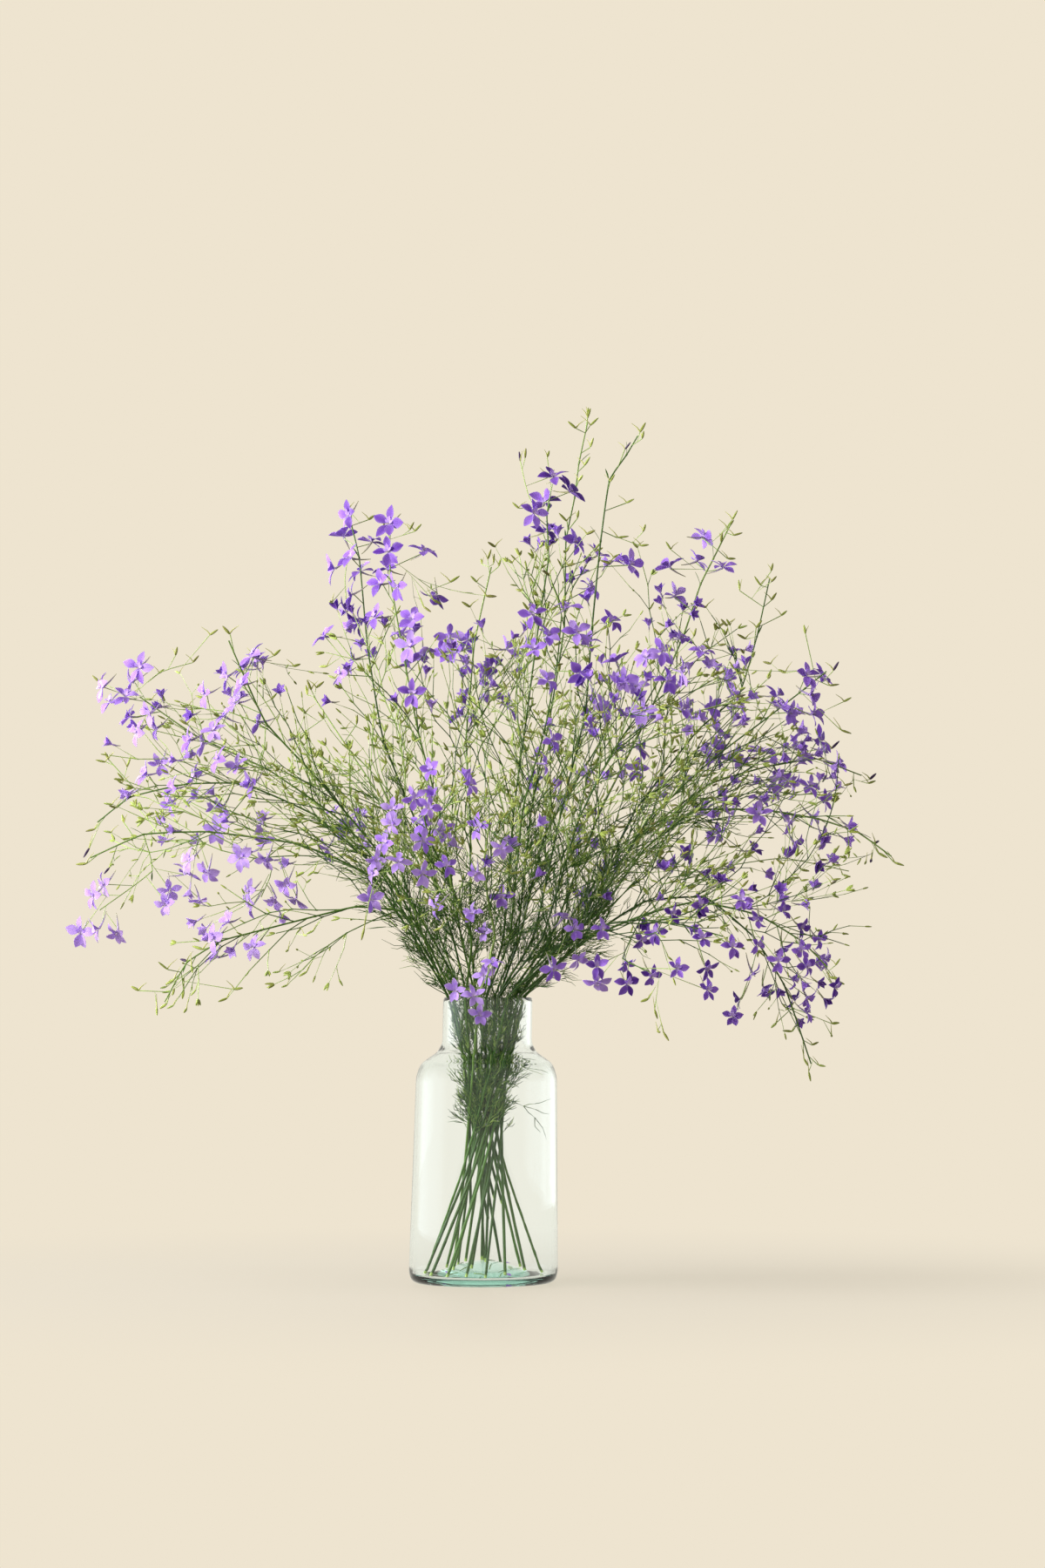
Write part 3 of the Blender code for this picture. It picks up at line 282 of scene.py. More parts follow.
# Each stem as it is read: its gate (across, and depth), how high it is cut, how far back its top reaches, its
# axis, the forks that leave it by knot, its blooms and the tips of its buds.
STEMS = (
    {
        "gate": (487, -8), "cut": 68.0, "reach": -30,
        "axis": ((455, 1020), (395, 945), (310, 885), (225, 845), (160, 800)),
        "blooms": (
            (159, 766), (151, 782), (117, 789), (126, 806), (143, 800), (149, 823), (172, 819), (157, 841),
            (180, 836),
        ),
        "tips": ((228, 752), (203, 742), (250, 722), (188, 768), (105, 775)),
    },
    {
        "gate": (497, -30), "reach": -70,
        "axis": ((440, 985), (365, 895), (305, 830), (275, 765), (262, 735)),
        "forks": ((2, ((300, 872), (240, 850))),),
        "blooms": (
            (289, 753), (281, 768), (260, 777), (278, 786), (235, 797), (271, 807), (257, 822), (298, 829),
            (244, 839), (219, 850), (235, 854), (251, 872), (273, 881), (291, 900),
        ),
        "tips": ((296, 742), (322, 745), (345, 762), (318, 795), (205, 826)),
    },
    {
        "gate": (480, 16), "cut": 76.0, "reach": 60,
        "axis": ((436, 1000), (360, 935), (280, 900), (215, 900), (150, 915), (112, 944)),
        "blooms": (
            (184, 876), (169, 890), (223, 891), (199, 906), (198, 922), (225, 916), (257, 925), (250, 952),
        ),
        "tips": ((120, 863), (113, 881), (132, 893), (125, 925), (150, 868), (96, 985)),
    },
    {
        "gate": (476, -22), "cut": 73.0, "reach": -10,
        "axis": ((430, 1010), (385, 985), (338, 968), (240, 955), (165, 958), (104, 985)),
        "forks": ((4, ((175, 1000), (115, 1045))), (3, ((312, 995), (300, 1030)))),
        "blooms": (
            (218, 988), (214, 1003), (239, 1001), (302, 970), (306, 986), (277, 984), (287, 1024),
            (289, 1040), (329, 1015), (340, 1032), (317, 1032), (120, 1016), (108, 1028), (195, 1022),
            (191, 1038), (229, 1034), (94, 1070), (114, 1066), (136, 1070),
        ),
        "tips": ((140, 935), (178, 930), (118, 1000)),
    },
    {
        "gate": (489, -45), "cut": 54.0, "reach": -120,
        "axis": ((460, 1046), (409, 1041), (362, 1052), (300, 1068), (255, 1080), (215, 1105), (190, 1150)),
        "blooms": ((263, 1059), (246, 1078), (250, 1099), (292, 1087)),
        "tips": (
            (221, 1086), (207, 1101), (198, 1122), (229, 1115), (210, 1147), (184, 1158), (151, 1132),
            (280, 1134), (182, 1104),
        ),
    },
    {
        "gate": (520, 22), "reach": 40,
        "axis": ((478, 945), (440, 850), (422, 745), (412, 640), (400, 590)),
        "blooms": (
            (401, 589), (426, 621), (394, 615), (403, 640), (384, 652), (413, 655), (404, 682), (397, 702),
            (413, 713), (430, 708), (372, 730), (407, 757), (391, 774),
        ),
        "tips": ((378, 690), (430, 590), (440, 730), (366, 765)),
    },
    {
        "gate": (530, -25), "reach": -60,
        "axis": ((505, 935), (480, 840), (462, 745), (448, 665), (447, 610)),
        "blooms": (
            (447, 600), (446, 632), (444, 652), (438, 670), (456, 672), (486, 632), (501, 682), (473, 711),
            (462, 727), (470, 742), (484, 752), (474, 796),
        ),
        "tips": ((484, 600), (507, 693), (495, 702), (470, 600), (528, 660)),
    },
    {
        "gate": (540, 50), "reach": 140,
        "axis": ((540, 940), (535, 850), (540, 790), (545, 735), (564, 650)),
        "blooms": (
            (516, 731), (508, 750), (537, 734), (524, 748), (536, 762), (557, 772), (529, 821), (581, 745),
            (585, 812),
        ),
        "tips": ((564, 629), (575, 640), (552, 640), (540, 660)),
    },
    {
        "gate": (578, -6), "reach": -20,
        "axis": ((590, 930), (605, 820), (618, 720), (630, 640), (628, 590), (634, 555)),
        "blooms": ((636, 546), (654, 563), (625, 575), (613, 588), (625, 609)),
        "tips": ((596, 516), (604, 512), (631, 515), (588, 575)),
    },
    {
        "gate": (585, -50), "reach": -130,
        "axis": ((600, 930), (625, 840), (640, 760), (645, 705)),
        "blooms": (
            (653, 695), (612, 705), (629, 730), (663, 726), (675, 737), (613, 745), (629, 781), (667, 772),
            (633, 850), (625, 877),
        ),
        "tips": ((600, 690), (690, 740)),
    },
    {
        "gate": (594, 20), "reach": 30,
        "axis": ((610, 930), (632, 820), (648, 720), (650, 620), (660, 570), (665, 530), (675, 483)),
        "blooms": ((659, 621), (686, 636), (678, 674)),
        "tips": (
            (652, 481), (687, 486), (676, 465), (682, 500), (678, 522), (668, 554), (661, 584), (645, 595),
            (640, 640),
        ),
    },
    {
        "gate": (612, -14), "reach": -30,
        "axis": ((645, 930), (672, 820), (680, 720), (690, 620), (700, 550), (720, 520), (733, 498)),
        "blooms": ((724, 647), (702, 713), (694, 812), (680, 799), (679, 837)),
        "tips": ((740, 492), (729, 571), (702, 553), (720, 608), (746, 624), (742, 600), (725, 505)),
    },
    {
        "gate": (632, 25), "reach": 50,
        "axis": ((690, 930), (745, 820), (785, 730), (805, 670), (820, 640), (840, 600)),
        "blooms": ((808, 615), (801, 643), (831, 650), (770, 650), (776, 683), (781, 732)),
        "tips": ((844, 595), (854, 610), (828, 618), (846, 640), (765, 620)),
    },
    {
        "gate": (622, -42), "reach": -130,
        "axis": ((665, 940), (705, 860), (740, 810), (765, 765)),
        "blooms": (
            (807, 747), (761, 747), (742, 755), (708, 759), (717, 779), (730, 789), (767, 781), (783, 771),
            (719, 822), (740, 816), (784, 814),
        ),
        "tips": ((750, 720), (800, 720), (690, 770)),
    },
    {
        "gate": (597, 65), "reach": 180,
        "axis": ((625, 960), (660, 900), (690, 850), (705, 800)),
        "forks": ((1, ((660, 985), (685, 1005))),),
        "blooms": (
            (730, 883), (732, 858), (673, 890), (614, 896), (647, 918), (680, 935), (660, 970), (705, 990),
            (691, 1000), (671, 1029),
        ),
        "tips": ((715, 770), (700, 775), (640, 860)),
    },
    {
        "gate": (655, 5), "reach": 20,
        "axis": ((730, 930), (800, 840), (850, 795), (870, 730), (885, 662)),
        "blooms": ((836, 781), (816, 812), (818, 833), (852, 812), (823, 869)),
        "tips": (
            (867, 660), (849, 664), (893, 660), (893, 679), (876, 711), (844, 764), (847, 727), (905, 700),
        ),
    },
    {
        "gate": (660, -28), "reach": -75,
        "axis": ((745, 940), (820, 870), (880, 825), (925, 790), (950, 770)),
        "blooms": ((893, 798), (927, 775), (945, 775), (930, 797), (906, 818), (933, 820), (918, 840)),
        "tips": ((924, 716), (894, 768), (979, 800), (979, 842), (965, 785)),
    },
    {
        "gate": (650, 44), "reach": 110,
        "axis": ((735, 960), (815, 900), (880, 880), (935, 870), (990, 890)),
        "blooms": (
            (874, 862), (851, 875), (915, 859), (941, 850), (961, 876), (896, 893), (910, 901), (886, 905),
        ),
        "tips": ((965, 850), (945, 898), (998, 887), (984, 910), (870, 840)),
    },
    {
        "gate": (668, -10), "reach": -25,
        "axis": ((740, 975), (800, 930), (880, 930), (940, 940), (985, 955), (1024, 983)),
        "blooms": (
            (930, 902), (947, 919), (933, 937), (874, 918), (872, 935), (838, 934), (906, 944), (912, 967),
            (945, 962), (829, 919),
        ),
        "tips": ((1010, 965), (1020, 985), (1000, 990), (975, 985)),
    },
    {
        "gate": (542, -65), "cut": 64.0, "reach": -165,
        "axis": ((515, 1010), (492, 960), (480, 905)),
        "forks": ((1, ((470, 1000), (438, 992))),),
        "blooms": (
            (496, 883), (539, 901), (451, 929), (476, 916), (493, 926), (450, 945), (484, 946), (509, 954),
            (485, 965), (443, 968), (433, 986), (428, 1003), (458, 990), (425, 1033), (485, 1003),
        ),
        "tips": ((524, 899), (483, 880), (430, 950), (415, 1080)),
    },
    {
        "gate": (505, 48), "reach": 125,
        "axis": ((480, 990), (440, 920), (400, 860), (360, 800)),
        "blooms": ((385, 932), (416, 936), (395, 951), (376, 974)),
        "tips": ((352, 780), (375, 790), (340, 810), (330, 850), (410, 820), (365, 900), (390, 890)),
    },
    {
        "gate": (568, -75), "reach": -210,
        "axis": ((560, 1030), (556, 990), (562, 945)),
        "forks": ((0, ((564, 1092), (560, 1118), (545, 1150))),),
        "blooms": (
            (551, 949), (576, 973), (513, 994), (548, 1001), (576, 1030), (500, 1041), (544, 1049),
            (557, 1071), (566, 1106), (556, 1120), (523, 1137), (544, 1144), (550, 1165),
        ),
        "tips": ((585, 930), (540, 925), (600, 1000)),
    },
    {
        "gate": (640, 62), "reach": 150,
        "axis": ((700, 990), (750, 950), (800, 930), (840, 905)),
        "forks": ((1, ((760, 1015), (830, 995), (900, 985), (975, 1000))),),
        "blooms": ((756, 901), (809, 930), (824, 955), (788, 980), (768, 991), (865, 976)),
        "tips": ((981, 1001), (960, 985), (930, 1000), (800, 880), (860, 890)),
    },
    {
        "gate": (650, -62), "reach": -160,
        "axis": ((690, 1062), (735, 1056), (785, 1062), (830, 1075)),
        "forks": ((1, ((715, 1100), (745, 1115))),),
        "blooms": (
            (828, 1012), (852, 1034), (771, 1049), (804, 1039), (646, 1054), (660, 1067), (691, 1067),
            (753, 1072), (736, 1078), (807, 1077), (841, 1087), (663, 1102), (685, 1109), (718, 1104),
            (686, 1127), (720, 1129), (748, 1120), (777, 1112), (811, 1111), (812, 1136), (635, 1112),
        ),
        "tips": ((755, 1170), (768, 1195), (758, 1185), (735, 1150), (860, 1010)),
    },
    {
        "gate": (676, -35), "reach": -65,
        "axis": ((740, 1050), (800, 1035), (870, 1050), (920, 1080), (950, 1110)),
        "blooms": (
            (871, 1054), (869, 1084), (898, 1046), (919, 1064), (939, 1078), (898, 1087), (894, 1103),
            (921, 1090), (926, 1110), (946, 1101), (958, 1133),
        ),
        "tips": ((900, 1010), (935, 1030), (965, 1100), (970, 1130)),
    },
    {
        "gate": (674, 22), "reach": 60,
        "axis": ((740, 1035), (810, 1030), (865, 1075), (900, 1130), (931, 1221)),
        "blooms": (
            (864, 1117), (912, 1126), (876, 1133), (850, 1147), (842, 1167), (910, 1147), (926, 1144),
            (926, 1162),
        ),
        "tips": ((898, 1183), (964, 1174), (940, 1196), (928, 1224), (948, 1224), (885, 1180), (955, 1190)),
    },
)


def place(x, y, depth):
    """The spot seen at a front-view reading, at a depth behind the vase axis."""
    k = (EYE_DISTANCE + depth) / EYE_DISTANCE
    across = (x - SIGHT_X) * UNIT
    height = (SIGHT_Y - y) * UNIT
    return Vector((across * k, depth, EYE_HEIGHT + (height - EYE_HEIGHT) * k))


def profile_radius(profile, height):
    """The radius of a turned profile at a height."""
    for (r0, z0), (r1, z1) in zip(profile, profile[1:]):
        low, high = min(z0, z1), max(z0, z1)
        if low <= height <= high and high > low:
            return r0 + (r1 - r0) * (height - z0) / (z1 - z0)
    return profile[0][0] if abs(height - profile[0][1]) < abs(height - profile[-1][1]) else profile[-1][0]


def floor_height(radius):
    """The height of the vase floor, humped in the middle, at a radius."""
    floor = ((0.0, VASE_HUMP),) + VASE_BOWL[::-1]
    for (r0, z0), (r1, z1) in zip(floor, floor[1:]):
        if radius <= r1:
            return z0 + (z1 - z0) * (radius - r0) / (r1 - r0)
    return floor[-1][1]


def capped(value):
    """A value kept from 0 to 1."""
    return min(1.0, max(0.0, value))


def within(value, start, end):
    """How far a value has gone from start to end, from 0 to 1."""
    return capped((value - start) / (end - start))


def segment_gap(p, q, a, b):
    """The shortest distance between the segments p-q and a-b."""
    ux, uy, uz = q[0] - p[0], q[1] - p[1], q[2] - p[2]
    vx, vy, vz = b[0] - a[0], b[1] - a[1], b[2] - a[2]
    wx, wy, wz = p[0] - a[0], p[1] - a[1], p[2] - a[2]
    uu = ux * ux + uy * uy + uz * uz
    vv = vx * vx + vy * vy + vz * vz
    uv = ux * vx + uy * vy + uz * vz
    uw = ux * wx + uy * wy + uz * wz
    vw = vx * wx + vy * wy + vz * wz
    bottom = uu * vv - uv * uv
    s = 0.0
    if bottom > FLAT:
        s = capped((uv * vw - vv * uw) / bottom)
    t = (uv * s + vw) / vv if vv > FLAT else 0.0
    if t < 0.0 or t > 1.0:
        t = capped(t)
        s = capped((uv * t - uw) / uu) if uu > FLAT else 0.0
    dx = wx + ux * s - vx * t
    dy = wy + uy * s - vy * t
    dz = wz + uz * s - vz * t
    return math.sqrt(dx * dx + dy * dy + dz * dz)


class Room:
    """What is already there, as rounded bars, so that nothing grows through another stem."""

    CELL = 22.0

    def __init__(self):
        self.cells = {}
        self.bars = []

    def span(self, p, q, r):
        """The cells that a bar reaches."""
        low = [int(math.floor((min(p[i], q[i]) - r) / self.CELL)) for i in range(3)]
        high = [int(math.floor((max(p[i], q[i]) + r) / self.CELL)) for i in range(3)]
        for i in range(low[0], high[0] + 1):
            for j in range(low[1], high[1] + 1):
                for k in range(low[2], high[2] + 1):
                    yield i, j, k

    def add(self, bars, owner):
        """Take up the room of these bars."""
        for p, q, r in bars:
            number = len(self.bars)
            self.bars.append((tuple(p), tuple(q), r, owner))
            for cell in self.span(p, q, r):
                self.cells.setdefault(cell, []).append(number)

    def free(self, bars, owner, root=None, glass=True):
        """Whether these bars keep clear of the vase and of all else, their own root apart."""
        for i, (p, q, r) in enumerate(bars):
            if glass and meets_vase(p, q, r):
                return False
            seen = set()
            for cell in self.span(p, q, r + CLEAR):
                for number in self.cells.get(cell, ()):
                    if number in seen:
                        continue
                    seen.add(number)
                    a, b, other, whose = self.bars[number]
                    if whose == owner:
                        if root is None:
                            continue
                        if i == 0 and segment_gap(root, root, a, b) < other + ROOT_REACH:
                            continue
                        if segment_gap(p, q, a, b) < r + other:
                            return False
                    elif segment_gap(p, q, a, b) < r + other + CLEAR:
                        return False
        return True


def meets_vase(p, q, r):
    """Whether a bar touches the glass."""
    margin = r + GLASS_GAP
    if min(p[2], q[2]) > VASE_HEIGHT + margin:
        return False
    steps = max(1, int((q - p).length / 2.0))
    for i in range(steps + 1):
        at = p.lerp(q, i / steps)
        if at.z > VASE_HEIGHT + margin:
            continue
        away = from_axis(at)
        height = min(at.z, VASE_HEIGHT)
        inner = profile_radius(VASE_INSIDE, height) * math.cos(math.pi / VASE_SIDES)
        outer = profile_radius(VASE_OUTSIDE, height)
        if away < inner - margin:
            if at.z < floor_height(away) + BASE_GAP:
                return True
            continue
        if away > outer + margin:
            continue
        return True
    return False


def across_any(direction):
    """A unit vector square to a direction."""
    other = UP if abs(direction.z) < 0.9 else SIDEWAYS
    return direction.cross(other).normalized()


def bars_of(points, radii):
    """The bars that a path takes up."""
    return [(points[i], points[i + 1], max(radii[i], radii[i + 1])) for i in range(len(points) - 1)]


def waist_spots():
    """Where each stem passes the waist, from its gate, spread so that none touch."""
    turn = math.atan(RULING * (GATE_HEIGHT - WAIST_HEIGHT))
    spots = []
    for stem in STEMS:
        gate_x, gate_depth = stem["gate"]
        x = (gate_x - SIGHT_X) * UNIT - GATE_CENTRE[0]
        y = gate_depth - GATE_CENTRE[1]
        across, along = x * math.cos(turn) + y * math.sin(turn), y * math.cos(turn) - x * math.sin(turn)
        spots.append([across / GATE_SCALE, along / GATE_SCALE])
    for _ in range(WAIST_ROUNDS):
        for i, one in enumerate(spots):
            for two in spots[i + 1:]:
                dx, dy = one[0] - two[0], one[1] - two[1]
                far = math.hypot(dx, dy) or 0.01
                if far < WAIST_SPACING:
                    push = 0.25 * (WAIST_SPACING - far) / far
                    one[0] += dx * push
                    one[1] += dy * push
                    two[0] -= dx * push
                    two[1] -= dy * push
            out = math.hypot(one[0], one[1])
            if out > WAIST_RADIUS:
                one[0] *= WAIST_RADIUS / out
                one[1] *= WAIST_RADIUS / out
    return spots


def ruled(spot, height):
    """The point of a stem's ruling at a height inside the vase."""
    rise = RULING * (height - WAIST_HEIGHT)
    if height < WAIST_HEIGHT:
        rise *= 1.0 + FOOT_SPREAD * (WAIST_HEIGHT - height) / WAIST_HEIGHT
    x = spot[0] - spot[1] * rise
    y = spot[1] + spot[0] * rise
    return Vector((x + VASE_LEAN * height, y, height))


def axis_at(height):
    """The leaning axis of the vase at a height."""
    return Vector((VASE_LEAN * height, 0.0, height))


def from_axis(at):
    """How far a point lies from the leaning axis of the vase."""
    return math.hypot(at.x - VASE_LEAN * at.z, at.y)


def foot_of(spot, cut_height):
    """Where a stem ends: cut short in mid-air, or stood on the vase floor."""
    level = max(cut_height, HUMP_TOP)
    while level > cut_height:
        foot = ruled(spot, level - LEVEL_STEP)
        direction = (ruled(spot, FOOT_TURN) - foot).normalized()
        cut = ring(foot, direction, STEM_FOOT, 12, across_any(direction))
        if min(at.z - floor_height(from_axis(at)) for at in cut) < SEAT:
            break
        level -= LEVEL_STEP
    return ruled(spot, level)


def over_rim(spot, gate):
    """A point where a stem that leans on the rim passes it, as near the glass as it can lie."""
    low = ruled(spot, NECK_HEIGHT)
    best = ruled(spot, RIM_HEIGHT)
    centre = axis_at(RIM_HEIGHT)
    out = best - centre
    for step in range(1, 200):
        at = centre + out * (1.0 + 0.002 * step)
        if meets_vase(low, at, STEM_FOOT) or meets_vase(at, gate, STEM_FOOT):
            break
        best = at
    return best


def stem_axis(rng, stem, spot, wander):
    """The main axis of a stem, from its cut foot to its top, and where its knots are."""
    cut_height = stem.get("cut", 0.0)
    foot = foot_of(spot, cut_height)
    turn = max(FOOT_TURN, foot.z + 15.0)
    points = [foot] + [ruled(spot, height) for height in (turn, WAIST_HEIGHT, NECK_HEIGHT)]
    gate_x, gate_depth = stem["gate"]
    gate = Vector(((gate_x - SIGHT_X) * UNIT, gate_depth, GATE_HEIGHT))
    gate = gate + Vector((rng.uniform(-1, 1), rng.uniform(-1, 1), 0.0)) * wander
    points.append(over_rim(spot, gate) if cut_height else ruled(spot, RIM_HEIGHT))
    points.append(gate)
    first = len(points)
    route = stem["axis"]
    for i, (x, y) in enumerate(route):
        share = (i + 1) / len(route)
        depth = gate_depth + (stem["reach"] - gate_depth) * share
        depth += rng.uniform(-1, 1) * (5.0 + 2.0 * wander)
        points.append(place(x, y, depth))
    out = points[:first]
    knots = []
    side = 1.0
    for start, end in zip(points[first - 1:], points[first:]):
        pieces = max(1, round((end - start).length / KNOT_SPACING))
        for i in range(1, pieces + 1):
            at = start.lerp(end, i / pieces)
            if i < pieces:
                tilt = across_any((end - start).normalized())
                at = at + tilt * side * rng.uniform(1.0, 2.6)
                side = -side
            out.append(at)
        knots.append(len(out) - 1)
    radii = tapered(STEM_FOOT, STEM_RIM, GATE + 1)[:-1] + tapered(STEM_RIM, STEM_TOP, len(out) - GATE)
    if cut_height:
        out = leant(out, radii)
    return out, radii, knots


def leant(points, radii):
    """A stem with its point over the rim moved outward until it all but touches the glass."""
    over = GATE - 1
    outward = (points[over] - axis_at(points[over].z)).normalized()
    for _ in range(LEAN_STEPS):
        moved = points[:over] + [points[over] + outward * LEVEL_STEP] + points[GATE:]
        if not clears_vase(moved, radii):
            break
        points = moved
    return points


def clears_vase(points, radii):
    """Whether the three edges of a stem keep off the glass."""
    rings = path_rings(points[:GATE + 2], radii, 3)
    for low, high in zip(rings, rings[1:GATE + 1]):
        for i in range(3):
            if meets_vase(low[i], high[i], SEAT - GLASS_GAP):
                return False
    return True


def twig_radii(parent, count):
    """A twig is thinner than what it grows from, so that its root sinks in whole."""
    size = min(TWIG_RADIUS, max(TWIG_LEAST, 0.66 * parent))
    return [min(size, 0.47 * parent)] + [size] * (count - 1)


def bow(start, middle, end, t):
    """A point on the curve that leaves for the middle and comes in from it."""
    return start * (1 - t) ** 2 + middle * 2 * t * (1 - t) + end * t * t


def twig_path(rng, start, along, end):
    """A wiry twig that leaves along the growth and bends to its end."""
    span = end - start
    length = span.length
    steps = 1 if length < 54.0 else 2 if length < 115.0 else 3
    lead = along * 0.75 + span.normalized() * 0.7
    bend = start + lead.normalized() * length * 0.45
    square = across_any(span.normalized())
    side = rng.choice((-1.0, 1.0))
    points = [start]
    for i in range(1, steps):
        t = i / steps
        points.append(bow(start, bend, end, t) + square * side * rng.uniform(0.8, 2.4))
        side = -side
    points.append(end)
    return points


class Plant:
    """One cut stem with everything that grows on it."""

    def __init__(self, number, stem):
        self.number = number
        self.stem = stem
        self.axes = []
        self.blooms = []
        self.buds = []
        self.leaves = []
        self.spots = []
        self.branches = []
        self.sprays = []
        self.fans = []

    def sides(self):
        """What leaves the branches and sprays at their nodes, as one list for each of them."""
        return [growth[-1] for growth in self.branches + self.sprays]

    def sides_with(self, *kinds):
        """Those of them that are of these kinds."""
        return [side for sides in self.sides() for side in sides if side[KIND] in kinds]

    def add_spots(self, points, radii, first, last_free):
        """Offer places along a path where a twig can leave."""
        for i in range(first, len(points) - 1):
            start, end = points[i], points[i + 1]
            direction = (end - start).normalized()
            pieces = max(1, int((end - start).length / SPOT_SPACING))
            for k in range(pieces):
                at = start.lerp(end, (k + 0.5) / pieces)
                if (at - points[-1]).length < last_free:
                    continue
                if i == 0 and (at - points[0]).length < ROOT_FREE:
                    continue
                radius = radii[i] + (radii[i + 1] - radii[i]) * (k + 0.5) / pieces
                self.spots.append([at, direction, radius, 0])

    def best_spots(self, target, count):
        """The places that suit a twig to this target, best first: near, unused, not back nor dead ahead."""
        priced = []
        for i, (at, direction, _, used) in enumerate(self.spots):
            span = target - at
            length = span.length
            if not TWIG_SHORTEST <= length <= TWIG_LONGEST:
                continue
            forward = direction.dot(span) / length
            price = length + 11.0 * used + 45.0 * max(0.0, 0.2 - forward) + 3.0 * max(0.0, 15.0 - length)
            price += 12.0 * max(0.0, forward - 0.93) / 0.07
            priced.append((price, i))
        priced.sort()
        return [i for _, i in priced[:count]]

    def settle(self, room, bars, root, pick, path, radii, last_free):
        """Take up the room of a twig and what it bears, where it is free, and offer places along it."""
        if not room.free(bars, self.number, root):
            return False
        room.add(bars, self.number)
        self.spots[pick][USED] += 1
        self.add_spots(path, radii, 0, last_free)
        return True


def plan_axes(room, plants):
    """Lay the main axes, then the forks named for each stem."""
    spots = waist_spots()
    for plant, spot in zip(plants, spots):
        for attempt in range(AXIS_TRIES):
            rng = random.Random(SEED + 1000 * plant.number + attempt)
            wander = 0.0 if attempt == 0 else 1.0 + attempt * 0.05
            points, radii, knots = stem_axis(rng, plant.stem, spot, wander)
            if clears_vase(points, radii) and room.free(bars_of(points, radii), plant.number, glass=False):
                break
        else:
            raise RuntimeError(f"stem {plant.number} finds no way through")
        room.add(bars_of(points, radii), plant.number)
        plant.axes.append((points, radii, knots))
        plant.add_spots(points, radii, GATE, TIP_FREE)
    for plant in plants:
        points, _, knots = plant.axes[0]
        for knot, route in plant.stem.get("forks", ()):
            start = points[knots[knot] if knot else GATE]
            for attempt in range(FORK_TRIES):
                rng = random.Random(FORK_DRAWS + 1000 * plant.number + 10 * knot + attempt)
                path = [start]
                for i, (x, y) in enumerate(route):
                    share = (i + 1) / len(route)
                    depth = start.y + (plant.stem["reach"] * 1.1 - start.y) * share
                    depth += rng.uniform(-1, 1) * (6.0 + attempt * 0.3)
                    if y > LOW_FORK and plant.stem["reach"] < FRONT_REACH:
                        depth = min(depth, LOW_FORK_DEPTH)
                    end = place(x, y, depth)
                    if (end - path[-1]).length > FORK_STEP:
                        middle = path[-1].lerp(end, 0.5)
                        path.append(middle + Vector([rng.uniform(-3, 3) for _ in range(3)]))
                    path.append(end)
                sizes = tapered(FORK_RADIUS, TWIG_RADIUS, len(path))
                if room.free(bars_of(path, sizes), plant.number):
                    break
            else:
                continue
            room.add(bars_of(path, sizes), plant.number)
            plant.axes.append((path, sizes, []))
            plant.add_spots(path, sizes, 0, TIP_FREE)


def outside(points):
    """The points of an axis that lie outside the vase: all of a fork's, and a stem's from its gate on."""
    return points[GATE:] if len(points) > GATE + 1 else points


def nearest_depth(plant, x, y):
    """The depth of the stem's own axes nearest to a front-view reading."""
    best = (FAR, 0.0)
    for points, _, _ in plant.axes:
        free = outside(points)
        for start, end in zip(free, free[1:]):
            for k in range(5):
                at = start.lerp(end, k / 4.0)
                spot = place(x, y, at.y)
                best = min(best, ((spot - at).length, at.y))
    return best[1]


def bloom_frame(face, lean):
    """The bloom's own axes: its face, and the way its upper sepal points."""
    up = UP + lean
    up = up - face * up.dot(face)
    if up.length < 0.2:
        up = across_any(face)
    up.normalize()
    return up, up.cross(face).normalized()


def petal_tips(centre, face, up, side, size, cup):
    """The five sepal tips: one upright, two to the sides and two below."""
    tips = []
    for degrees, lift in zip(PETAL_ANGLES, cup):
        angle = math.radians(degrees)
        out = side * math.cos(angle) + up * math.sin(angle)
        tips.append(centre + out * size + face * lift)
    return tips


def plan_blooms(room, plants):
    """Set each bloom on its twig, nearest to the axes first."""
    for plant in plants:
        order = sorted(plant.stem["blooms"], key=lambda spot: spot_reach(plant, spot))
        for number, (x, y) in enumerate(order):
            base = nearest_depth(plant, x, y)
            for attempt in range(BLOOM_TRIES):
                rng = random.Random(BLOOM_DRAWS + 5000 * plant.number + 70 * number + attempt)
                depth = base + rng.uniform(-1, 1) * (26.0 + attempt * 0.8)
                if y > LOW_BLOOM and plant.stem["reach"] < FRONT_REACH:
                    depth = min(depth, LOW_BLOOM_DEPTH - rng.uniform(0, 12))
                centre = place(x, y, depth)
                picks = plant.best_spots(centre, 5)
                if not picks:
                    continue
                pick = picks[min(len(picks) - 1, attempt % 5 if attempt > 8 else 0)]
                if bloom_at(room, plant, rng, pick, centre, attempt < 45):
                    break


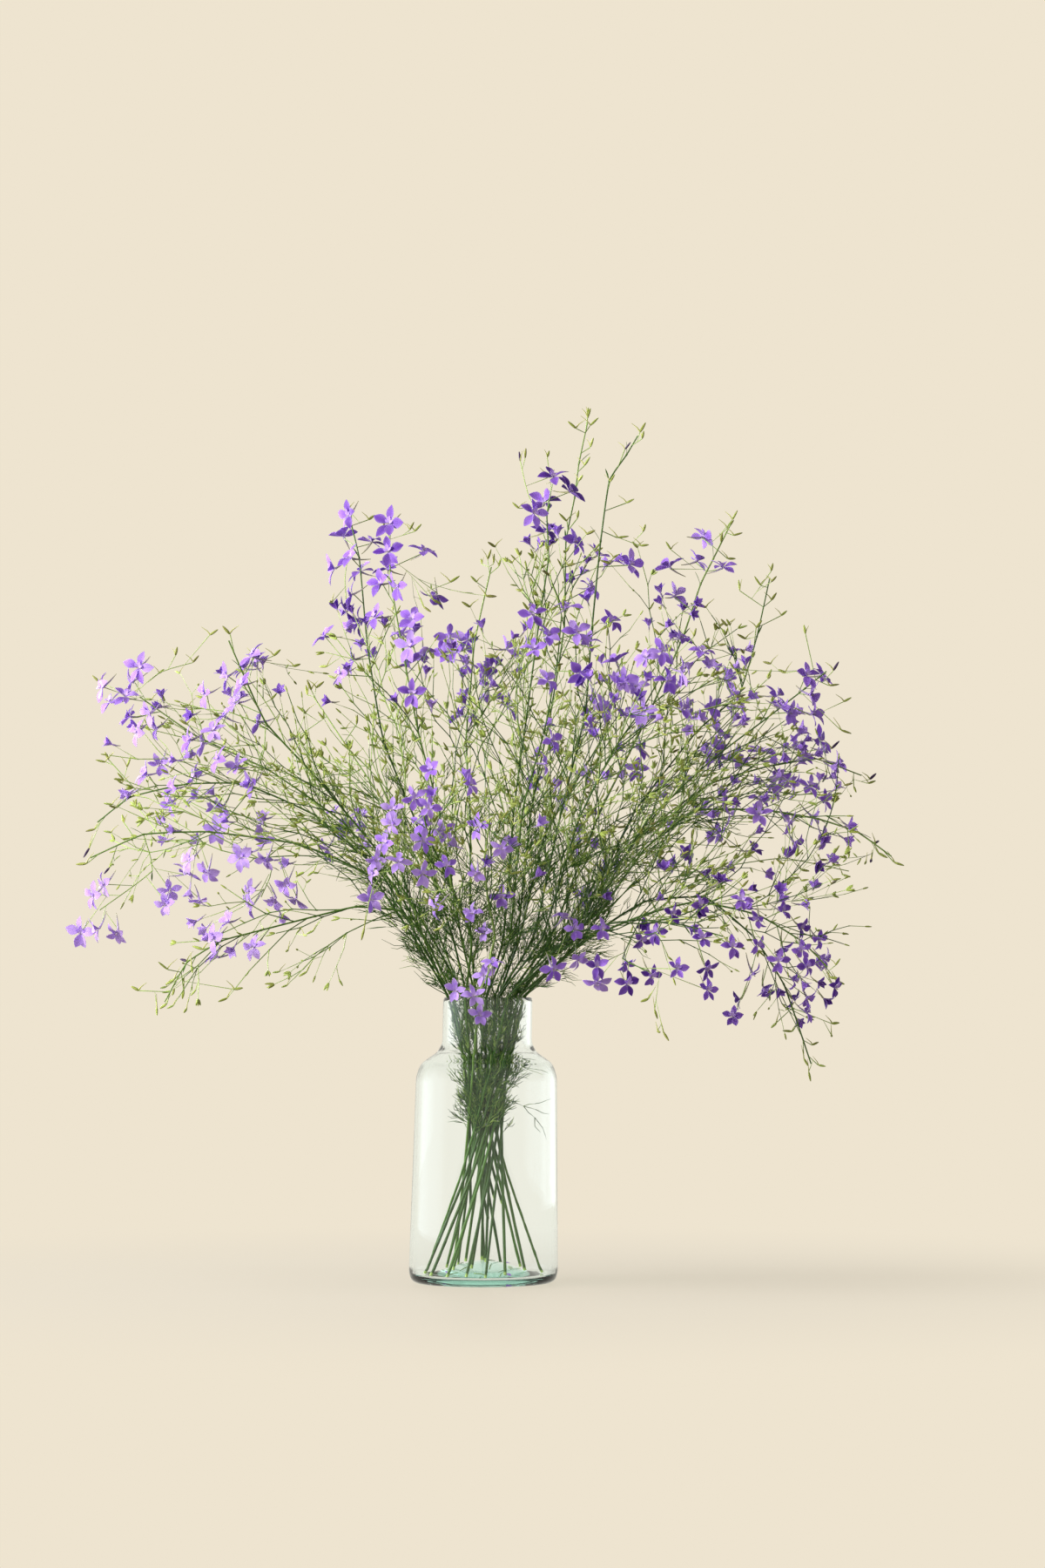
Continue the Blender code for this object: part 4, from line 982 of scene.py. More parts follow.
def bloom_at(room, plant, rng, pick, centre, strict):
    """Grow one twig with its bloom, facing out from the bunch, if there is room for it."""
    at, along, radius, _ = plant.spots[pick]
    out = Vector((centre.x - 10.0, centre.y, 0.25 * (centre.z - 330.0))).normalized()
    wild = Vector([rng.gauss(0, 1) for _ in range(3)]) * 0.42
    face = (out * 0.75 + Vector((0.0, -0.45, 0.05)) + wild).normalized()
    path = twig_path(rng, at, along, centre)
    arrive = (path[-1] - path[-2]).normalized()
    while face.dot(arrive) < 0.35:
        face = (face + arrive * 0.3).normalized()
    size = PETAL_LENGTH * rng.uniform(0.9, 1.08)
    up, side = bloom_frame(face, Vector((rng.uniform(-0.35, 0.35), rng.uniform(-0.35, 0.35), 0.0)))
    cup = [rng.uniform(-2.5, 2.0) for _ in range(5)]
    tips = petal_tips(centre, face, up, side, size, cup)
    spur = (-face * 0.75 + up * 0.55 + wild * 0.25).normalized()
    length = SPUR_LENGTH * rng.uniform(0.85, 1.15)
    path[-1] = centre - face * BACK_DEPTH + up * 0.15
    radii = twig_radii(radius, len(path))
    bars = bars_of(path, radii)
    bars += [(centre, tip, PETAL_HALF_WIDTH + 0.2) for tip in tips]
    bars.append((centre, centre + spur * length, 1.2))
    if not plant.settle(room, bars, at if strict else None, pick, path, radii, BLOOM_FREE):
        return False
    plant.blooms.append(
        {
            "path": path, "radii": radii, "centre": centre, "face": face, "up": up, "side": side,
            "size": size, "cup": cup, "spur": spur, "spur_length": length, "seed": rng.random(),
        }
    )
    return True


def spot_reach(plant, spot):
    """How far a front-view reading lies from the stem's axes."""
    best = FAR
    for points, _, _ in plant.axes:
        for at in outside(points):
            seen = place(spot[0], spot[1], at.y)
            best = min(best, (seen - at).length)
    return best


def plan_buds(room, plants, later):
    """End twigs in buds at the front view's tips: first two in three and each axis, then the others."""
    for plant in plants:
        top = plant.axes[0][0][-1]
        for number, (x, y) in enumerate(plant.stem["tips"]):
            if (number % 3 == 2) != later:
                continue
            base = nearest_depth(plant, x, y)
            for attempt in range(BUD_TRIES):
                rng = random.Random(BUD_DRAWS + 5000 * plant.number + 70 * number + attempt)
                depth = base + rng.uniform(-1, 1) * (18.0 + attempt)
                end = place(x, y, depth)
                picks = plant.best_spots(end, 4)
                if not picks:
                    continue
                pick = picks[attempt % len(picks)]
                if bud_at(room, plant, rng, pick, end):
                    break
        if later:
            continue
        rng = random.Random(END_BUD_DRAWS + plant.number)
        end = top + (top - plant.axes[0][0][-2]).normalized() * 14.0
        for pick in plant.best_spots(end, 3):
            if bud_at(room, plant, rng, pick, end):
                break


def bud_at(room, plant, rng, pick, end):
    """Grow one budded twig if there is room for it."""
    at, along, radius, _ = plant.spots[pick]
    heading = (end - at).normalized()
    point = (heading + Vector((rng.gauss(0, 0.25), rng.gauss(0, 0.25), 0.35))).normalized()
    length = BUD_LENGTH * rng.uniform(0.75, 1.15)
    girth = BUD_GIRTH * rng.uniform(0.8, 1.1)
    base = end - point * length
    if (base - at).length < 6.0:
        base = at + (along + heading * 0.8).normalized() * 8.0
    path = twig_path(rng, at, along, base)
    arrive = (path[-1] - path[-2]).normalized()
    if point.dot(arrive) < 0.5:
        point = (point + arrive).normalized()
    radii = twig_radii(radius, len(path))
    bars = bars_of(path, radii) + [(path[-1], path[-1] + point * length, girth)]
    if not plant.settle(room, bars, at, pick, path, radii, BUD_FREE):
        return False
    plant.buds.append(
        {"path": path, "radii": radii, "point": point, "length": length, "girth": girth, "seed": rng.random()}
    )
    return True


def passing(points, height):
    """Where a path first comes up to a height, and which way it heads there."""
    for start, end in zip(points, points[1:]):
        if end.z >= height:
            at = start.lerp(end, (height - start.z) / max(SLIGHT, end.z - start.z))
            return at, (end - start).normalized()
    return None, None


def plan_leaves(room, plants):
    """Thread leaves on the axis, most of them from the neck up to where the bunch opens."""
    for plant in plants:
        points = plant.axes[0][0]
        rng = random.Random(LEAF_DRAWS + plant.number)
        made = 0
        for _ in range(LEAVES_PER_STEM * LEAF_TRIES):
            if made >= LEAVES_PER_STEM:
                break
            at, along = passing(points, rng.triangular(165.0, 420.0, 270.0))
            if at is None:
                continue
            angle = rng.uniform(0.0, ROUND)
            square = across_any(along)
            other = along.cross(square)
            out = square * math.cos(angle) + other * math.sin(angle)
            length = rng.uniform(22.0, 40.0)
            rise = rng.uniform(0.5, 1.3)
            middle = at + (out + along * rise).normalized() * length * 0.55
            tip = middle + (out * 0.8 + along * rise * 1.2 + UP * 0.2).normalized() * length * 0.45
            path = [at, middle, tip]
            bars = bars_of(path, [LEAF_RADIUS] * 3)
            if not room.free(bars, plant.number, at):
                continue
            room.add(bars, plant.number)
            plant.leaves.append(path)
            made += 1


def ring(centre, direction, radius, sides, start):
    """A ring of points square to a direction."""
    side = start - direction * start.dot(direction)
    side.normalize()
    other = direction.cross(side)
    angles = [ROUND * i / sides for i in range(sides)]
    return [centre + (side * math.cos(angle) + other * math.sin(angle)) * radius for angle in angles]


def path_rings(points, radii, sides):
    """Rings along a path, worked out from its end back so that they don't twist."""
    rings = []
    last = len(points) - 1
    start = across_any((points[last] - points[last - 1]).normalized())
    for i in range(last, -1, -1):
        direction = (points[min(last, i + 1)] - points[max(0, i - 1)]).normalized()
        start = start - direction * start.dot(direction)
        if start.length < 0.1:
            start = across_any(direction)
        start.normalize()
        rings.append(ring(points[i], direction, radii[i], sides, start))
    return rings[::-1]


def plan_sprays(room, plants, per_stem):
    """Fine forking sprays among the twigs, with buds along them and a cluster at the end."""
    reach = Reach(plants)
    for plant in plants:
        rng = random.Random(SPRAY_DRAWS + plant.number)
        spots = [spot for spot in plant.spots if spot[0].z > 330.0]
        for _ in range(per_stem * SPRAY_TRIES):
            if len(plant.sprays) >= per_stem or not spots:
                break
            at, along, radius, _ = rng.choice(spots)
            square = any_way(rng, along)
            heading = (along * 0.9 + square * rng.uniform(0.35, 0.85) + UP * 0.3).normalized()
            path = [at]
            bend = rng.choice((-1.0, 1.0))
            for _ in range(rng.choice((2, 3, 3, 4))):
                sway = across_any(heading) * bend * rng.uniform(0.15, 0.4)
                heading = (heading + sway + UP * 0.06).normalized()
                path.append(path[-1] + heading * rng.uniform(11.0, 21.0))
                bend = -bend
            size = min(SPRAY_RADIUS, 0.6 * radius)
            radii = tapered(size, SPRAY_LEAST, len(path))
            if not reach.inside(path[-1]) or not room.free(bars_of(path, radii), plant.number, at):
                continue
            room.add(bars_of(path, radii), plant.number)
            plant.sprays.append((path, radii, sides_of(rng, path, radii)))


class Reach:
    """How far the bunch goes out in every direction, read from its own blooms, buds and stem tops."""

    def __init__(self, plants):
        ends = [flower["centre"] for plant in plants for flower in plant.blooms]
        ends += [bud["path"][-1] + bud["point"] * bud["length"] for plant in plants for bud in plant.buds]
        ends += [points[-1] for plant in plants for points, _, _ in plant.axes]
        self.low = np.array([end.z for end in ends])
        away = np.array([tuple(end - HEART) for end in ends])
        self.far = np.linalg.norm(away, axis=1)
        self.ways = away / self.far[:, None]

    def inside(self, spot):
        """Whether a spot lies within the bunch."""
        away = spot - HEART
        far = away.length
        if any(not CAD_BOX[0][k] / MM < spot[k] < CAD_BOX[1][k] / MM for k in range(3)):
            return False
        if far < 90.0:
            return True
        near = self.ways @ np.array(tuple(away / far)) > REACH_SPREAD
        if not near.any() or spot.z < min(self.low[near].min() + 4.0, HEART.z):
            return False
        return far < self.far[near].max() * (REACH_SHARE - TOP_THINNING * max(0.0, away.z / far) ** 2)


def plan_branches(room, plants, per_stem):
    """Thin branches from the main axes, forking at every node, kept within the bunch."""
    reach = Reach(plants)
    for plant in plants:
        rng = random.Random(BRANCH_DRAWS + plant.number)
        points, radii, _ = plant.axes[0]
        made = 0
        for _ in range(per_stem * SPRAY_TRIES):
            if made >= per_stem:
                break
            i = rng.randrange(GATE, max(GATE + 1, len(points) - 2))
            share = rng.random()
            at = points[i].lerp(points[i + 1], share)
            along = (points[i + 1] - points[i]).normalized()
            size = min(BRANCH_RADIUS, 0.62 * radii[i + 1])
            made += branch(room, reach, plant, rng, at, along, size, rng.uniform(70.0, 230.0), 0)


def branch(room, reach, plant, rng, at, along, size, length, level):
    """One thin branch, as a path that kinks at its nodes; says whether it found room."""
    square = any_way(rng, along)
    heading = (along + square * rng.uniform(0.35, 0.7) * (1.0 + 0.5 * level)).normalized()
    path = [at]
    gone = 0.0
    while gone < length:
        step = rng.uniform(17.0, 30.0) if level == 0 else rng.uniform(10.0, 19.0)
        for _ in range(4):
            kink = any_way(rng, heading)
            trial = (heading + kink * rng.uniform(0.12, 0.34) + UP * 0.04).normalized()
            spot = path[-1] + trial * step
            if reach.inside(spot) and room.free([(path[-1], spot, size)], plant.number, at):
                break
        else:
            break
        path.append(spot)
        heading = trial
        gone += step
    if len(path) < 3 - level:
        return 0
    radii = tapered(size, SPRAY_RADIUS if level == 0 else SPRAY_LEAST, len(path))
    room.add(bars_of(path, radii), plant.number)
    plant.branches.append((path, radii, level, sides_of(rng, path, radii)))
    if level == 0:
        for i in range(1, len(path) - 1):
            onward = (path[i] - path[i - 1]).normalized()
            for _ in range(rng.choice((0, 1, 1, 2))):
                size = min(SPRAY_RADIUS, radii[i])
                branch(room, reach, plant, rng, path[i], onward, size, rng.uniform(16.0, 62.0), 1)
    return 1


def sides_of(rng, path, radii):
    """What leaves a branch or spray at each of its nodes."""
    return [spray_side(rng, path, radii, i) for i in range(1, len(path))]


def spray_side(rng, path, radii, i):
    """What leaves a spray at one of its nodes: its direction, its stalk's length and its kind."""
    heading = (path[i] - path[i - 1]).normalized()
    out = any_way(rng, heading)
    if i == len(path) - 1:
        kind = rng.choice(("cluster", "cluster", "bud", "young"))
    else:
        heading = (heading * 0.8 + out * 0.9 + UP * 0.2).normalized()
        kind = rng.choice(("bud", "young", "young", "bract", "knob", "bare", "bare", "bare"))
    return path[i], heading, rng.uniform(6.0, 15.0), radii[i], kind, rng.random()


def plan_fans(plants, per_stem):
    """Leaves cut into threads, thickest where the bunch leaves the neck."""
    for plant in plants:
        points = plant.axes[0][0]
        rng = random.Random(FAN_DRAWS + plant.number)
        for number in range(per_stem):
            inner = number % 2 == 1
            height = rng.uniform(128.0, 262.0) if inner else rng.triangular(262.0, 430.0, 280.0)
            at, along = passing(points, height)
            if at is None:
                continue
            out = any_way(rng, along)
            length = rng.uniform(14.0, 30.0) if inner else rng.uniform(24.0, 50.0)
            add_fan(plant, leaf_fan(rng, at, along, out, length))
    rng = random.Random(WISP_DRAWS)
    for height in WISP_HEIGHTS:
        starts = [(plant, passing(plant.axes[0][0], height)[0]) for plant in plants]
        plant, at = max(starts, key=lambda pair: pair[1].x)
        add_fan(plant, leaf_fan(rng, at, Vector((0.5, -0.1, -0.5)), Vector((1.0, -0.3, -0.1)), 46.0))


def add_fan(plant, threads):
    """Keep those threads of a leaf that pass no glass."""
    plant.fans.extend(thread for thread in threads if all(clear_of_glass(spot) for spot in thread))


def clear_of_glass(spot):
    """Whether a spot lies well inside the vase, or above its rim."""
    if spot.z > VASE_HEIGHT + THREAD_OVER:
        return True
    return from_axis(spot) < profile_radius(VASE_INSIDE, spot.z) - THREAD_IN


def leaf_fan(rng, at, along, out, length):
    """One leaf: a short stalk that splits in three and again, all of it curved thread."""
    heading = (out * rng.uniform(0.5, 1.0) + along * rng.uniform(0.5, 1.5)).normalized()
    square = any_way(rng, heading)
    knee = at + heading * length * rng.uniform(0.2, 0.4)
    threads = [[at, at.lerp(knee, 0.5) + square * 0.6, knee]]
    for turn in (-1.0, 0.0, 1.0):
        side = turned(square, heading, rng.uniform(-0.6, 0.6)) * turn
        ray = (heading + side * rng.uniform(0.2, 0.6) + UP * 0.1).normalized()
        fork = knee + ray * length * rng.uniform(0.2, 0.45)
        threads.append([knee, knee.lerp(fork, 0.5) + square * turn * 0.8, fork])
        for bend in (-1.0, 1.0):
            curl = turned(square, ray, rng.uniform(0.0, ROUND))
            tip = (ray + curl * rng.uniform(0.15, 0.45)).normalized()
            end = fork + tip * length * rng.uniform(0.2, 0.5)
            threads.append([fork, fork.lerp(end, 0.5) + curl * bend * length * 0.06, end])
    return threads


def turned(direction, axis, angle):
    """A direction turned about an axis."""
    return Matrix.Rotation(angle, 3, axis) @ direction


def any_way(rng, axis):
    """A unit vector square to an axis, turned about it at random."""
    return turned(across_any(axis), axis, rng.uniform(0.0, ROUND))


def tapered(start, end, count):
    """Radii that go evenly from one to another."""
    return [start + (end - start) * i / (count - 1) for i in range(count)]


GROWN = []


def grown():
    """The bunch, grown once, the thick parts first, and kept for all the pieces."""
    if not GROWN:
        look = bpy.context.scene.larkspur
        room = Room()
        plants = [Plant(i + 1, stem) for i, stem in enumerate(STEMS)]
        plan_axes(room, plants)
        plan_blooms(room, plants)
        plan_buds(room, plants, False)
        plan_leaves(room, plants)
        plan_buds(room, plants, True)
        plan_branches(room, plants, look.branches)
        plan_sprays(room, plants, look.sprays)
        plan_fans(plants, look.fans)
        open_some(plants)
        GROWN.extend(plants)
    return GROWN


def low_right_share(at):
    """1 where the bunch hangs low at the right, 0 elsewhere."""
    return within(at.x, 40.0, 140.0) * within(at.z, 430.0, 350.0)


def heart_share(at):
    """1 low in the middle of the bunch, 0 elsewhere."""
    return within(abs(at.x + 15.0), 130.0, 70.0) * within(at.z, 500.0, 440.0)


def outer_share(at):
    """1 high in the bunch and out at its right, 0 elsewhere."""
    return max(within(at.z, 520.0, 580.0), within(at.x, 150.0, 230.0) * within(at.z, 400.0, 470.0))


def open_some(plants):
    """Let the buds near open blooms be opening ones, so that the blooms stand in clumps."""
    centres = np.array([tuple(flower["centre"]) for plant in plants for flower in plant.blooms])
    for plant in plants:
        for sides in plant.sides():
            for i, (at, heading, length, radius, kind, chance) in enumerate(sides):
                near = np.linalg.norm(centres - np.array(tuple(at)), axis=1).min() < OPEN_NEAR
                least = 0.4 + 0.45 * heart_share(at) - 0.2 * outer_share(at)
                if near and kind in ("bud", "cluster") and chance > least:
                    sides[i] = (at, heading, length, radius, "opening", chance)


class Bench:
    """Where the closed shapes of one piece come together."""

    def __init__(self):
        self.bm = self.start()
        self.scratch = bpy.data.meshes.new("scratch")

    def start(self):
        """A new mesh with a layer for its tone and one for its texture."""
        small = bmesh.new()
        small.verts.layers.float.new("tone")
        small.loops.layers.uv.new("UVMap")
        return small

    def take(self, small, tone=None, material=0):
        """Join one closed shape to the piece."""
        layer = small.verts.layers.float["tone"]
        if tone is not None:
            for vert in small.verts:
                vert[layer] = tone
        for face in small.faces:
            face.material_index = material
        small.to_mesh(self.scratch)
        small.free()
        self.bm.from_mesh(self.scratch)

    def piece(self, name, node, slot, materials, sharp=50.0):
        """The finished object, standing for its node."""
        bmesh.ops.scale(self.bm, vec=(MM, MM, MM), verts=self.bm.verts)
        mesh = bpy.data.meshes.new(name)
        self.bm.to_mesh(mesh)
        self.bm.free()
        bpy.data.meshes.remove(self.scratch)
        for material in materials:
            mesh.materials.append(material)
        mesh.shade_smooth()
        mesh.set_sharp_from_angle(angle=math.radians(sharp))
        thing = bpy.data.objects.new(name, mesh)
        bpy.context.scene.collection.objects.link(thing)
        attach(thing, "root")
        if node:
            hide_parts(node)
        return thing


def tube(bench, points, radii, sides, tones, material=0):
    """A closed round shape drawn along a path, its width and tone changing on the way."""
    small = bench.start()
    layer = small.verts.layers.float["tone"]
    heading = (points[1] - points[0]).normalized()
    turn = heading.to_track_quat("Z", "Y").to_matrix().to_4x4()
    made = bmesh.ops.create_circle(
        small, cap_ends=True, segments=sides, radius=radii[0], matrix=Matrix.Translation(points[0]) @ turn
    )
    for vert in made["verts"]:
        vert[layer] = tones[0]
    cap = small.faces[:]
    last = len(points) - 1
    for i in range(1, last + 1):
        out = bmesh.ops.extrude_face_region(small, geom=cap + list(cap[0].edges) + list(cap[0].verts))
        cap = [item for item in out["geom"] if isinstance(item, bmesh.types.BMFace)]
        rim = list(cap[0].verts)
        onward = (points[min(i + 1, last)] - points[i - 1]).normalized()
        move = (
            Matrix.Translation(points[i])
            @ heading.rotation_difference(onward).to_matrix().to_4x4()
            @ Matrix.Scale(radii[i] / radii[i - 1], 4)
            @ Matrix.Translation(-points[i - 1])
        )
        bmesh.ops.transform(small, matrix=move, verts=rim)
        for vert in rim:
            vert[layer] = tones[0] + (tones[1] - tones[0]) * i / last
        heading = onward
    bench.take(small, material=material)


def flow(points, radii, spacing, slack, knots=()):
    """A path drawn finer: straight between its points with no slack, a smooth curve with full slack."""
    last = len(points) - 1
    fine, widths = [], []
    for i in range(last):
        start, end = points[i], points[i + 1]
        span = end - start
        leave = span.lerp((end - points[max(0, i - 1)]) * 0.5, slack)
        arrive = span.lerp((points[min(last, i + 2)] - start) * 0.5, slack)
        steps = max(1, round(span.length / spacing))
        shares = [(k / steps, 1.0) for k in range(steps)]
        close = min(0.3, KNOT_REACH / span.length)
        if i in knots:
            shares[0] = (0.0, KNOT_SWELL)
            shares.insert(1, (close, 1.0))
        if i + 1 in knots:
            shares.append((1.0 - close, 1.0))
        for t, swell in shares:
            square, cube = t * t, t * t * t
            fine.append(
                start * (2 * cube - 3 * square + 1) + leave * (cube - 2 * square + t)
                + end * (3 * square - 2 * cube) + arrive * (cube - square)
            )
            widths.append((radii[i] + (radii[i + 1] - radii[i]) * t) * swell)
    return fine + [points[-1]], widths + [radii[-1]]


def shoot(bench, points, radii, spacing, slack, sides, tones, knots=(), material=0):
    """A tube along a path that is drawn finer first; says where it runs and how wide."""
    fine, widths = flow(points, radii, spacing, slack, knots)
    tube(bench, fine, widths, sides, tones, material)
    return fine, widths


def young(radius):
    """How young a stalk of this radius is: 0 at the cut foot, 1 in the finest spray."""
    return within(radius, STEM_FOOT, SPRAY_LEAST)


def stalks(bench, plant):
    """The stem, its forks, twigs and sprays."""
    rng = random.Random(STALK_DRAWS + plant.number)
    shade, girth = rng.uniform(-0.1, 0.6), rng.uniform(0.8, 1.0)
    for number, (points, radii, _) in enumerate(plant.axes):
        main = number == 0
        thin = girth if main else FINENESS
        at_knots = range(GATE if main else 1, len(points) - 1)
        slim = [radius * thin for radius in radii]
        tones = (young(radii[0]) + shade, young(radii[-1]) + 0.5 * shade)
        fine, widths = shoot(bench, points, slim, 9.0, 0.35, 8 if main else 6, tones, at_knots)
        if main:
            cut = fine[0].lerp(fine[1], CUT_SHARE)
            tube(bench, [fine[0], cut], [widths[0] * 1.04, widths[0] * 1.02], 8, (1.0, 0.8))
    for growth in plant.blooms + plant.buds:
        radii = growth["radii"]
        shoot(bench, growth["path"], radii, 12.0, 0.8, 5, (young(radii[0] * 1.5), young(radii[-1]) + 0.1))
    for path, radii, level, _ in plant.branches:
        # The x term makes branches paler at the left and darker at the right: painted light and shade from
        # the key lamp on the left, over a random tone of their own.
        pale = rng.choice((-0.2, 0.0, 0.1, 0.35)) - path[0].x / 900.0
        tones = (0.35 + pale, 0.75 + pale) if level == 0 else (0.55 + pale, 1.0)
        shoot(bench, path, radii, 15.0, 0.3, 5 if level == 0 else 4, tones, range(1, len(path) - 1))
    for path, radii, _ in plant.sprays:
        tones = (0.6 + rng.uniform(-0.3, 0.3), 1.0)
        shoot(bench, path, radii, 14.0, 0.5, 4, tones, range(1, len(path) - 1))
    for at, heading, length, radius, _, _ in plant.sides_with("bud", "knob", "opening"):
        end = at + heading * length
        middle = at.lerp(end, 0.5) + across_any(heading) * 0.6
        tube(bench, [at, middle, end], [radius * 0.8] * 3, 3, (0.9, 1.0))


def strands(bench, plant):
    """The thread leaves, and the narrow bracts at the nodes."""
    for path in plant.leaves:
        shoot(bench, path, [LEAF_RADIUS, LEAF_RADIUS * 0.8, LEAF_RADIUS * 0.35], 12.0, 0.8, 3, (0.2, 0.5))
    rng = random.Random(BRACT_DRAWS + plant.number)
    for thread in plant.fans:
        shade = rng.uniform(0.0, 1.0) ** 1.4 * 0.85
        widths = [THREAD_RADIUS, THREAD_RADIUS * 0.85, THREAD_RADIUS * 0.4]
        tube(bench, thread, widths, 3, (shade, shade + 0.15))
    for points, _, _ in plant.axes:
        for i in range(GATE if len(points) > GATE + 1 else 1, len(points) - 1):
            along = (points[i] - points[i - 1]).normalized()
            out = any_way(rng, along)
            bract(bench, points[i], (along + out * 0.7).normalized(), rng.uniform(8.0, 16.0), 0.5)
    for at, heading, length, _, _, _ in plant.sides_with("bract"):
        bract(bench, at, heading, length * 0.8, 0.9)


def bract(bench, at, heading, length, tone):
    """A narrow leaf at a node, folded a little along its middle."""
    side = across_any(heading)
    front = side.cross(heading)
    blade(bench, at, heading, side, front, length, 0.75, (0.0, -0.08 * length), tone)


def blade(bench, root, out, across, front, length, half, lifts, tone, material=0, steps=4):
    """A thin leaf-like shape: a grid drawn out to a point, bent to its front, then given its thickness."""
    small = bench.start()
    bmesh.ops.create_grid(small, x_segments=2, y_segments=steps, size=1.0, calc_uvs=True)
    for vert in small.verts:
        share = 0.5 + 0.5 * vert.co.y
        width = vert.co.x
        swell = math.sin(math.pi * share ** 1.2) if 0.0 < share < 0.99 else 0.0
        reach = half * (0.06 + 0.94 * swell)
        lift = lifts[0] * math.sin(math.pi * share) + lifts[1] * share * share
        fold = 0.22 * reach * abs(width) ** 1.5
        vert.co = root + out * length * share + across * reach * width + front * (lift + fold)
    made = bmesh.ops.extrude_face_region(small, geom=small.faces[:])
    back = [item for item in made["geom"] if isinstance(item, bmesh.types.BMVert)]
    bmesh.ops.translate(small, verts=back, vec=front * -BLADE_THICKNESS)
    bmesh.ops.recalc_face_normals(small, faces=small.faces[:])
    bench.take(small, tone, material)


def spindle(bench, base, point, length, girth, tone, sides=6, rings=5):
    """A bud's body, round at its stalk and drawn to a point."""
    small = bench.start()
    bmesh.ops.create_uvsphere(small, u_segments=sides, v_segments=rings, radius=1.0)
    turn = point.to_track_quat("Z", "Y").to_matrix()
    layer = small.verts.layers.float["tone"]
    for vert in small.verts:
        share = 0.5 + 0.5 * vert.co.z
        narrow = 1.0 - 0.35 * share
        spot = Vector((vert.co.x * girth * narrow, vert.co.y * girth * narrow, share * length))
        vert[layer] = tone + 0.12 * share
        vert.co = base + turn @ spot
    bench.take(small)


def spurred_bud(bench, base, point, length, girth, tone):
    """A larkspur bud: its body lies over, and its spur stands up from where the stalk joins."""
    spindle(bench, base, point, length, girth * 0.85, tone)
    lifted = UP - point * 0.45
    spur = (lifted - point * 0.2).normalized()
    knee = base + spur * length * 0.45 + point * 0.9
    tip = base + spur * length * 1.1 - point * 0.8
    widths = [girth * 0.42, girth * 0.26, 0.16]
    tube(bench, [base + point * 0.8, knee, tip], widths, 4, (tone * 0.6, 0.02), 1)


def buds(bench, plant):
    """The spurred buds on the twigs and sprays, and the young ones in clusters."""
    rng = random.Random(CLUSTER_DRAWS + plant.number)
    for bud in plant.buds:
        tone = 0.95 if bud["seed"] > 0.86 else 0.25 + 0.45 * bud["seed"]
        spurred_bud(bench, bud["path"][-1], bud["point"], bud["length"], bud["girth"], tone)
    for at, heading, length, _, kind, chance in plant.sides_with("bud", "knob", "young", "cluster"):
        end = at + heading * length
        if kind == "bud":
            flat = Vector((heading.x, heading.y, heading.z * 0.3)).normalized()
            high = within(end.z, 450.0, 650.0)
            # The end.x term makes buds paler at the left and darker at the right: painted light and shade
            # from the key lamp on the left.
            tone = 0.1 + 0.5 * chance + 0.15 * high + end.x / 1400.0
            girth = 1.25 + 0.3 * chance + 0.45 * high
            spurred_bud(bench, end, flat, 7.0 + 2.5 * chance + high, girth, tone)
        elif kind == "knob":
            spindle(bench, end - heading * 0.4, heading, 2.6, 1.1, 0.5, 5, 4)
        elif kind == "young":
            girth = 0.8 + 0.3 * chance
            spindle(bench, at, heading, 5.5 + 3.0 * chance, girth, 0.1 + 0.4 * chance, 5, 4)
        else:
            for _ in range(2 + int(3.9 * chance)):
                out = any_way(rng, heading)
                point = (heading + out * rng.uniform(0.15, 0.65)).normalized()
                length, girth = rng.uniform(6.0, 10.0), rng.uniform(0.85, 1.5)
                spindle(bench, at + point * 0.4, point, length, girth, rng.uniform(0.0, 0.55), 5, 4)


def bloom(bench, flower, look):
    """One bloom: five sepals, the pale fused petal in its heart, its stamens and the spur behind."""
    centre, face, up, side = flower["centre"], flower["face"], flower["up"], flower["side"]
    rng = random.Random(int(flower["seed"] * SEED_SPAN))
    tone = bloom_tone_and_painted_light(centre, rng)
    halves = (look.sepal_upper, look.sepal_side, look.sepal_lower, look.sepal_lower, look.sepal_side)
    closed = rng.uniform(-0.15, 0.5)
    size = flower["size"] * rng.uniform(SEPAL_LEAST, SEPAL_REACH)
    size *= 1.0 - 0.2 * low_right_share(centre) - 0.14 * heart_share(centre) + 0.08 * outer_share(centre)
    for i, half in enumerate(halves):
        angle = math.radians(PETAL_ANGLES[i] + rng.uniform(-9.0, 9.0))
        out = side * math.cos(angle) + up * math.sin(angle)
        out = (out + face * (closed + rng.uniform(-0.2, 0.2))).normalized()
        across = face.cross(out).normalized()
        tilt = turned(across, out, rng.uniform(-0.55, 0.55))
        front = out.cross(tilt)
        width = half / MM * rng.uniform(0.88, 1.12) * size / flower["size"]
        lifts = (rng.uniform(0.2, 2.2), flower["cup"][i])
        shade = capped(tone + rng.uniform(-0.2, 0.2) - (0.12 if i == 0 else 0.0))
        blade(bench, centre + out * 0.5, out, tilt, front, size, width, lifts, shade, steps=6)
    for degrees, length, half in ((90.0, 7.4, 2.0), (30.0, 5.2, 1.5), (150.0, 5.2, 1.5)):
        angle = math.radians(degrees + rng.uniform(-5.0, 5.0))
        out = (side * math.cos(angle) + up * math.sin(angle) + face * 0.75).normalized()
        across = face.cross(out).normalized()
        front = out.cross(across)
        blade(bench, centre + face * 0.5, out, across, front, length, half, (0.6, -0.9), tone, 1, 3)
    for k in range(3):
        out = (face + side * (k - 1) * 0.35 - up * 0.25).normalized()
        thread = [centre + face * 0.4, centre + out * 3.2, centre + out * 3.9]
        tube(bench, thread, [0.22, 0.2, 0.42], 3, (0.0, 1.0), 3)
    spur = flower["spur"] * flower["spur_length"]
    middle = centre + spur * 0.5 - up * 1.2
    path = [centre - face * 0.4, middle, centre + spur]
    shoot(bench, path, [1.15, 0.7, 0.3], 5.0, 1.0, 5, (tone, 1.0), material=2)


